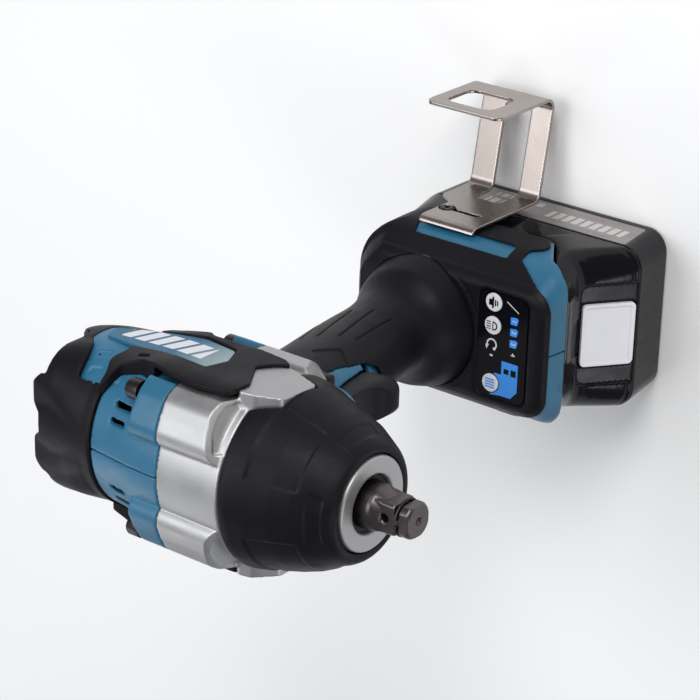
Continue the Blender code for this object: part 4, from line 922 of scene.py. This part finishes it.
def make_trigger():
    """The trigger, which is full at its foot and curls forwards there, with the rod into its switch."""
    outline = [(1, 187.4), (12, 188), (16.4, 185.6), (14.4, 180), (12.6, 172), (13.8, 164), (17.4, 157.6),
               (18.6, 153), (15.6, 150), (9, 150.2), (2, 154), (-0.4, 165), (-0.6, 180)]
    smooth = rounded(outline, 3, 5)
    body = side_plate(smooth, -8.3, 8.3)
    rounder = loft([(148, 4, 11, 5.6, 5), (151, 4, 14, 7.6, 7), (155, 4, 15.4, 8.3, 8),
                    (200, 4, 15.4, 8.3, 8)], "Z", 16)
    front = loft([(145, 3, 15.9, 8.3, 8.2), (200, 3, 15.9, 8.3, 8.2)], "Z", 16)
    body = join(inside(body, rounder, front), rod((2, 0, 173), (-17, 0, 173), 2.6))
    piece("trigger_lever", body, "black_plastic", "trigger", "trigger", 0.36, 10, 0.6)


def make_small_controls():
    """The reversing bar through the housing and the window of the work lamp."""
    lever = block((4.9, -22.5, 190.7), (15.1, 22.5, 195.9), 1.4, 4)
    lever = cut(lever, block((0, -3, 180), (8, 3, 200)))
    piece("reversing_bar", lever, "black_plastic", "direction_lever", "direction_lever", 0.3, 3, 0.5)
    lens = block((20, -6.1, 190), (27.3, 6.1, 195.5), 1.7, 5)
    piece("lamp_window", lens, "lens", "tool", "lamp_lens")


# ---- foot and panel

PANEL_BUTTONS = ((13.6, 19.6, "mode"), (13.6, 9, "lamp"), (13.6, -17.6, "stop"))


def make_foot_cover():
    """The soft cover over the foot: a lid with a collar groove, shoulders, guards and a panel recess."""
    lid = loft(FOOT_LID[3:], "Z", 20)
    skirt = loft([*grown(FOOT, 1.3)[:-1], (79, *FOOT_LID[9][1:])], "Z", 20)
    rows = grown(FOOT, 0.25)
    core = inside(loft([(40, *rows[0][1:]), *rows[:-1], (78.6, *rows[-1][1:])], "Z", 20),
                  floor_plate(plan_outline(0.25), 30, 95), rear_shape(0.15))
    cover = cut(join(lid, skirt), core)
    outline = rounded([(-57, 45.6), (17, 45.6), (21.6, 52.5), (21.3, 57.5), (17.6, 61.6), (17.6, 68.4),
                       (33, 78.0), (60, 78.3), (60, 95), (-80, 95), (-80, 60), (-66, 48)], 1.0)
    window = rounded([(-41.5, 61), (9, 61), (10.6, 63.4), (10.6, 70), (-37.4, 70)], 1.0)
    sides = side_plate(outline, -60, 60, window)
    cover = inside(cover, sides, floor_plate(plan_outline(1.3), 30, 95), rear_shape(1.35))
    collar = rod((-26, 0, 70), (-26, 0, 90), 29.66, segments=96)
    ring = cut(rod((-26, 0, 81.3), (-26, 0, 90), 33.4, segments=96),
               rod((-26, 0, 70), (-26, 0, 95), 32.4, segments=96))
    recess = floor_plate(box_outline(5.7, 31.3, -24.3, 24.3, 4), 79.8, 90)
    lip = floor_plate(box_outline(4.6, 32.4, -25.4, 25.4, 5), 81.3, 90)
    cover = cut(cover, collar, recess, lip, ring, rod((-35.4, 30, 50), (-35.4, 45, 50), 3.2))
    piece("foot_overmould", cover, "black_soft", "tool", "foot_cover", 0.5, 4, 0.45)


def make_panel():
    """The glossy panel and its three round buttons."""
    panel = floor_plate(box_outline(6, 31, -24, 24, 3.7), 80.1, 81.5)
    panel = cut(panel, *[rod((x, y, 70), (x, y, 90), 4.4) for x, y, _ in PANEL_BUTTONS])
    piece("panel_film", panel, "panel_gloss", "tool", "control_panel")
    for x, y, name in PANEL_BUTTONS:
        body = f"{name}_button"
        cap = rod((x, y, 80.7), (x, y, 81.8), 4.1)
        cap = join(cap, rod((x, y, 81.7), (x, y, 82.05), 4.1, 3.8))
        piece(f"{name}_cap", cap, "button_white", body, body, sharp=25)
    make_icons()


def raised(outline, *holes, base=81.5):
    """A thin picture standing on the panel, or on a button's top."""
    return floor_plate(outline, base, base + 0.12, *holes)


def make_icons():
    """Plain pictures on the panel: a bolt, a lamp, a turn arrow, level squares and a blue field."""
    top = 82.05  # of the buttons
    bolt = [raised(box_outline(*box, radius), base=top) for *box, radius in (
        (11.4, 13.2, 18.2, 21.0, 0.3), (13.0, 13.9, 17.0, 22.2, 0.3), (14.4, 15.0, 18.2, 21.0, 0.2),
        (15.5, 16.1, 18.5, 20.7, 0.2))]
    piece("bolt_icon", join(*bolt), "panel_gloss", "mode_button")
    shade = arc((14.2, 9), 2.0, -90, 90, 14) + [(13.7, 11.0), (13.7, 7.0)]
    inner = arc((14.2, 9), 1.45, -90, 90, 14) + [(14.1, 10.5), (14.1, 7.5)]
    rays = [raised(box_outline(10.6, 12.8, 9 + dy - 0.18, 9 + dy + 0.18, 0.1), base=top)
            for dy in (-1.6, -0.55, 0.55, 1.6)]
    piece("lamp_icon", join(raised(shade, inner, base=top), *rays), "panel_gloss", "lamp_button")
    grille = [raised(box_outline(11.2, 16.0, y - 0.28, y + 0.28, 0.15), base=top)
              for y in (-19.4, -18.2, -17.0, -15.8)]
    piece("stop_icon", join(*grille), "panel_blue", "stop_button")

    curl = arc((13.4, 0.2), 2.7, -60, 200, 20) + arc((13.4, 0.2), 2.0, 200, -60, 20)
    arrow = join(raised(curl), raised([(10.2, -0.4), (12.0, -0.1), (10.8, -2.4)]),
                 raised(box_outline(12.6, 14.2, -5.2, -4.4, 0.2)))
    arrow = join(arrow, rod((14.8, -1.6, 81.5), (14.8, -1.6, 81.62), 0.7))
    piece("turn_icon", arrow, "panel_white", "tool")
    for i, y in enumerate((13.6, 8.4, 3.2)):
        square = [(22.6, y - 1.7), (25.8, y - 1.7), (26.6, y + 1.1), (25.6, y + 1.9), (22.6, y + 1.5)]
        piece(f"level_{i + 1}", raised(square), "panel_blue", "tool")
        numeral(i + 1, 24.4, y)
    numeral(4, 24.4, -1.8)
    line = [(20.2, 21.4), (26.4, 17.6), (26.6, 17.9), (20.4, 21.75)]
    piece("level_line", raised(line), "panel_white", "tool")
    field = [(19.0, -6.0), (27.4, -6.0), (27.4, -18.6), (24.2, -22.2), (19.6, -22.2), (13.8, -22.9),
             (13.8, -22.35), (16.0, -21.6), (18.0, -19.4), (18.4, -17.0), (17.4, -14.4), (15.4, -13.1),
             (15.4, -12.4), (19.0, -12.4)]
    windows = [box_outline(20.2, 22.8, -11.6, -9.2, 0.2, 3), box_outline(23.8, 26.6, -11.9, -8.9, 0.2, 3)]
    piece("mode_field", raised(field, *windows), "panel_blue", "tool")


def numeral(digit, x, y):
    """A digit on the panel, read from the tool's left side."""
    curve = bpy.data.curves.new("numeral", "FONT")
    curve.body = str(digit)
    curve.size = 3.1 * MM
    curve.extrude = 0.09 * MM
    curve.align_x = "CENTER"
    curve.align_y = "CENTER"
    mesh = evaluated(placed(curve))
    place = Matrix.Translation(Vector((x, y, 81.6)) * MM)
    mesh.transform(place @ Matrix.Rotation(math.radians(-90), 4, "Z"))
    piece(f"numeral_{digit}", mesh, "panel_white", "tool")


# ---- belt hook


def make_hook():
    """The belt hook, a bent steel strip with its windows and keyhole, and the screw that holds it."""
    path = [(38.6, 64.7), (39.6, 64.3), (40.3, 63.6), (40.75, 62.4), (40.8, 61.2), (40.8, 19)]
    path += arc((45.6, 19), 4.8, 180, 260, 14)[1:]
    path += arc((82.2, 12.2), 4.6, 260, 360, 16)
    path += [(86.8, 49.4)]
    half = 0.8
    left, right = [], []
    for i, (y, z) in enumerate(path):
        before, after = path[max(i - 1, 0)], path[min(i + 1, len(path) - 1)]
        along = Vector((after[0] - before[0], after[1] - before[1])).normalized()
        left.append((y - along.y * half, z + along.x * half))
        right.append((y + along.y * half, z - along.x * half))
    matrix = Matrix.Translation((-30.5 * MM, 0, 0)) @ CROSSWISE
    strip = plate([left + right[::-1]], 20, matrix)
    keyhole = [*arc((-35.4, 50), 3.9, 22, 338, 28), (-19.4, 48.6), *arc((-19.4, 50), 1.4, -90, 90, 10)]
    rear_edge = [(-60, -10), (-47.8, -10), (-47.8, 37), (-39.5, 43), (-39.5, 80), (-60, 80)]
    strip = cut(
        strip,
        side_plate(rounded(rear_edge, 2), 30, 81),
        side_plate([(0, 30), (-10, 30), (-10.6, 37), (-10.6, 80), (0, 80)], 30, 50),
        block((-35.4, 38, 3), (-21.4, 80.6, 24), 2.5, 5),
        side_plate(box_outline(-35.4, -21.4, 17, 31, 3), 30, 60),
        side_plate(keyhole, 30, 60),
        side_plate(box_outline(-44.5, -20, 22, 43, 5), 80, 95),
        side_plate([(-60, 0), (0, 0), (0, 60), (-60, 60)], 82, 95, box_outline(-50.4, -10.2, 2, 49.6, 5)),
    )
    piece("hook_strip", strip, "hook_steel", "tool", "belt_hook", 0.3, 2, 0.7)
    screw = join(rod((-35.4, 38.1, 50), (-35.4, 41.3, 50), 2.9),
                 rod((-35.4, 41.2, 50), (-35.4, 41.8, 50), 2.9, 2.3),
                 rod((-35.4, 31, 50), (-35.4, 39, 50), 1.9))
    screw = cut(screw, rod((-35.4, 40.2, 50), (-35.4, 45, 50), 1.5, segments=6))
    piece("screw_head", screw, "black_steel", "tool", "hook_screw", sharp=25)


# ---- battery

BUTTON_TOP = Vector((37.5, 0, 49))
BUTTON_LOW = Vector((52.1, 0, 29.7))


def slope_frame():
    """The frame of the battery's sloping front: u up the slope, v across, w out of it."""
    up = (BUTTON_TOP - BUTTON_LOW).normalized()
    out = Vector((up.z, 0, -up.x))
    out = out if out.x > 0 else -out
    turn = Matrix((up, out.cross(up), out)).transposed().to_4x4()
    return Matrix.Translation((BUTTON_TOP + BUTTON_LOW) / 2 * MM) @ turn


def slope_plate(outline, w0, w1, *holes):
    """A plate lying in the sloping front, between two heights out of it."""
    place = slope_frame() @ Matrix.Translation((0, 0, (w0 + w1) / 2 * MM))
    return plate([outline, *holes], abs(w1 - w0) / 2, place)


def make_battery():
    """The battery's lower case with its rating films, and its upper case with rails and sloping front."""
    pocket = box_outline(-12.6, 12.6, -14.9, 14.9, 2.4)
    lower = loft(eased([(0, -8, 54.6, 36.2, 9), (0.6, -7.7, 55.3, 36.9, 9.6), (1.6, -7.4, 55.9, 37.5, 10),
                        (16, -6.4, 57, 37.5, 10), (28, -5.6, 57.8, 37.5, 10)], 2), "Z", 20)
    feet = [block((x - 9, y - 2.2, -2), (x + 9, y + 2.2, 0.5), 0.8) for x in (-40, 30) for y in (-30, 30)]
    film_room = rounded([(-50, 4.4), (40, 4.4), (42.8, 27), (-50, 27)], 2)
    lower = cut(
        lower,
        loft([(2.2, -7.4, 53.8, 35.2, 9), (40, -5.6, 55.6, 35.2, 9)], "Z", 12),
        slope_plate(pocket, -13, 13),
        *[side_plate(film_room, side * 37.15, side * 60) for side in (1, -1)],
        *feet,
        # A shallow step round the foot of the case.
        cut(block((-70, -45, 3.0), (60, 45, 3.5)),
            loft([(-5, -7.4, 55.4, 37.0, 10), (40, -7.4, 55.4, 37.0, 10)], "Z", 20)),
    )
    piece("pack_base", lower, "battery_body", "battery", "battery_lower_case", 0.6, 3, 0.4)

    outline = rounded([(-49.6, 4.8), (39.6, 4.8), (42.4, 26.6), (-49.6, 26.6)], 1.8)
    for side, name in ((1, "left"), (-1, "right")):
        film = side_plate(outline, side * 37.0, side * 37.42)
        piece(f"pack_label_{name}", film, "pack_label", "battery")

    upper = loft(eased([(28.3, -5.6, 57.8, 37.5, 10), (30.6, -6.2, 57.1, 37.3, 10.6),
                        (40, -11.4, 51.4, 36.6, 13), (44.6, -13, 49.4, 35.8, 14)], 3), "Z", 20)
    front = rounded([(10, 40), (19.2, 44.2), (30.4, 61.8), (37.6, 66), (60, 66), (60, 30), (20, 30)], 1.4)
    nose_rows = [(30, 50.9, 37.3, 11), (31.6, 50.6, 37.3, 11), (40, 44.2, 37, 13), (49, 37.6, 36.2, 13),
                 (54, 37.2, 35, 12), (60, 38.2, 33, 11), (64, 39.8, 31, 11), (66, 40.4, 30, 11)]
    nose = inside(side_plate(front, -38, 38),
                  loft(eased([(z, x / 2, x / 2, half, turn) for z, x, half, turn in nose_rows], 2), "Z", 16))
    upper = join(upper, nose, block((-60, -25, 43), (24, 25, 60)),
                 block((-60.4, -28.2, 55), (24.4, 28.2, 59)))
    shell = slope_plate(box_outline(-17.4, 13.8, -23.5, 23.5, 4), -1.1, 20)
    upper = cut(
        upper,
        loft([(20, -5.6, 55.6, 35.2, 9), (28, -6.2, 55, 35, 9), (42.2, -14.8, 46.2, 33.8, 9)], "Z", 12),
        slope_plate(pocket, -13, 13),
        shell,
        block((29.6, -8.4, 36), (37, 8.4, 70)),
        *[block((-70, y - 1.3, 51.6), (-12, y + 1.3, 70)) for y in (-12, 12)],
    )
    piece("pack_top", upper, "battery_gloss", "battery", "battery_upper_case", 0.5, 4, 0.4)


def make_release_button():
    """The button on the slope: a raised rim round a sunk field, with a centre line, and its latch behind."""
    outline = box_outline(-12.1, 12.1, -14.4, 14.4, 2.2)
    face = slope_plate(outline, -1.9, -0.1)
    rim = slope_plate(outline, -0.2, 0.25, box_outline(-10.6, 10.6, -12.9, 12.9, 1.4))
    line = slope_plate(box_outline(-10.7, -10.1, -12.0, 12.0, 0.2), -0.2, 0.25)
    key = join(face, rim, line)
    latch = join(block((33, -7.6, 40.6), (39.6, 7.6, 43.4)), block((32.6, -7.6, 40.6), (36, 7.6, 62)))
    piece("release_latch", latch, "black_plastic", "release_button")
    piece("release_key", key, "release_white", "release_button", "release_button", 0.28, 3, 0.5)


make_housing()
make_rear_cap()
make_label_band()
make_bumpers()
make_hammer_case()
make_front_boot()
make_case_bolts()
make_anvil()
make_grip()
make_trigger()
make_small_controls()
make_foot_cover()
make_panel()
make_hook()
make_battery()
make_release_button()


# ---- stage


def make_stage():
    """The pale floor, the even sky and four soft lights."""
    n = Nodes("floor")
    n.colour(n.mix(n.noise(3, 2), (0.86, 0.86, 0.87), (0.9, 0.9, 0.9)))
    n.roughness(n.remap(n.noise(8, 3), 0.3, 0.7, 0.55, 0.7))
    bm = bmesh.new()
    bmesh.ops.create_grid(bm, x_segments=8, y_segments=8, size=6, matrix=Matrix.Translation((0, 0, -0.0002)))
    floor = placed(mesh_of(bm))
    floor.name = "floor"
    floor.data.materials.append(LOOK["floor"])

    world = bpy.context.scene.world or bpy.data.worlds.new("world")
    bpy.context.scene.world = world
    world.use_nodes = True
    background = world.node_tree.nodes["Background"]
    background.inputs["Color"].default_value = (0.95, 0.97, 1.0, 1)
    background.inputs["Strength"].default_value = 0.27
    for name, spot, size, power, tint in (
        ("key", (0.5, 1.3, 1.1), 0.9, 17, (1.0, 0.99, 0.97)),
        ("top", (-0.5, 0.35, 1.5), 1.1, 13, (0.98, 0.99, 1.0)),
        ("side", (1.4, -0.6, 0.8), 0.8, 6, (0.97, 0.98, 1.0)),
        ("back", (-1.2, -1.1, 0.8), 1.0, 5, (1.0, 1.0, 1.0)),
    ):
        light = bpy.data.lights.new(name, "AREA")
        light.shape = "DISK"
        light.size = size
        light.energy = power
        light.color = tint
        lamp = bpy.data.objects.new(name, light)
        lamp.location = spot
        lamp.rotation_euler = (Vector((0, 0, 0.14)) - Vector(spot)).to_track_quat("-Z", "Y").to_euler()
        bpy.context.scene.collection.objects.link(lamp)


CAMERA_PLACE = (0.59876, 0.44065, 0.93901)
CAMERA_TURN = (-22.089, 38.264, 1.864)  # degrees about X, Y and Z
CAMERA_LENS = 135.87  # mm, on a frame 36 mm wide


def make_camera():
    """The camera at the picture's angle, with the tool on its side in view."""
    camera = bpy.data.cameras.new("camera")
    camera.lens = CAMERA_LENS
    camera.sensor_width = 36
    eye = bpy.data.objects.new("camera", camera)
    eye.location = CAMERA_PLACE
    eye.rotation_euler = [math.radians(angle) for angle in CAMERA_TURN]
    bpy.context.scene.collection.objects.link(eye)
    bpy.context.scene.camera = eye


make_stage()
make_camera()
bpy.context.scene.view_settings.view_transform = "Standard"
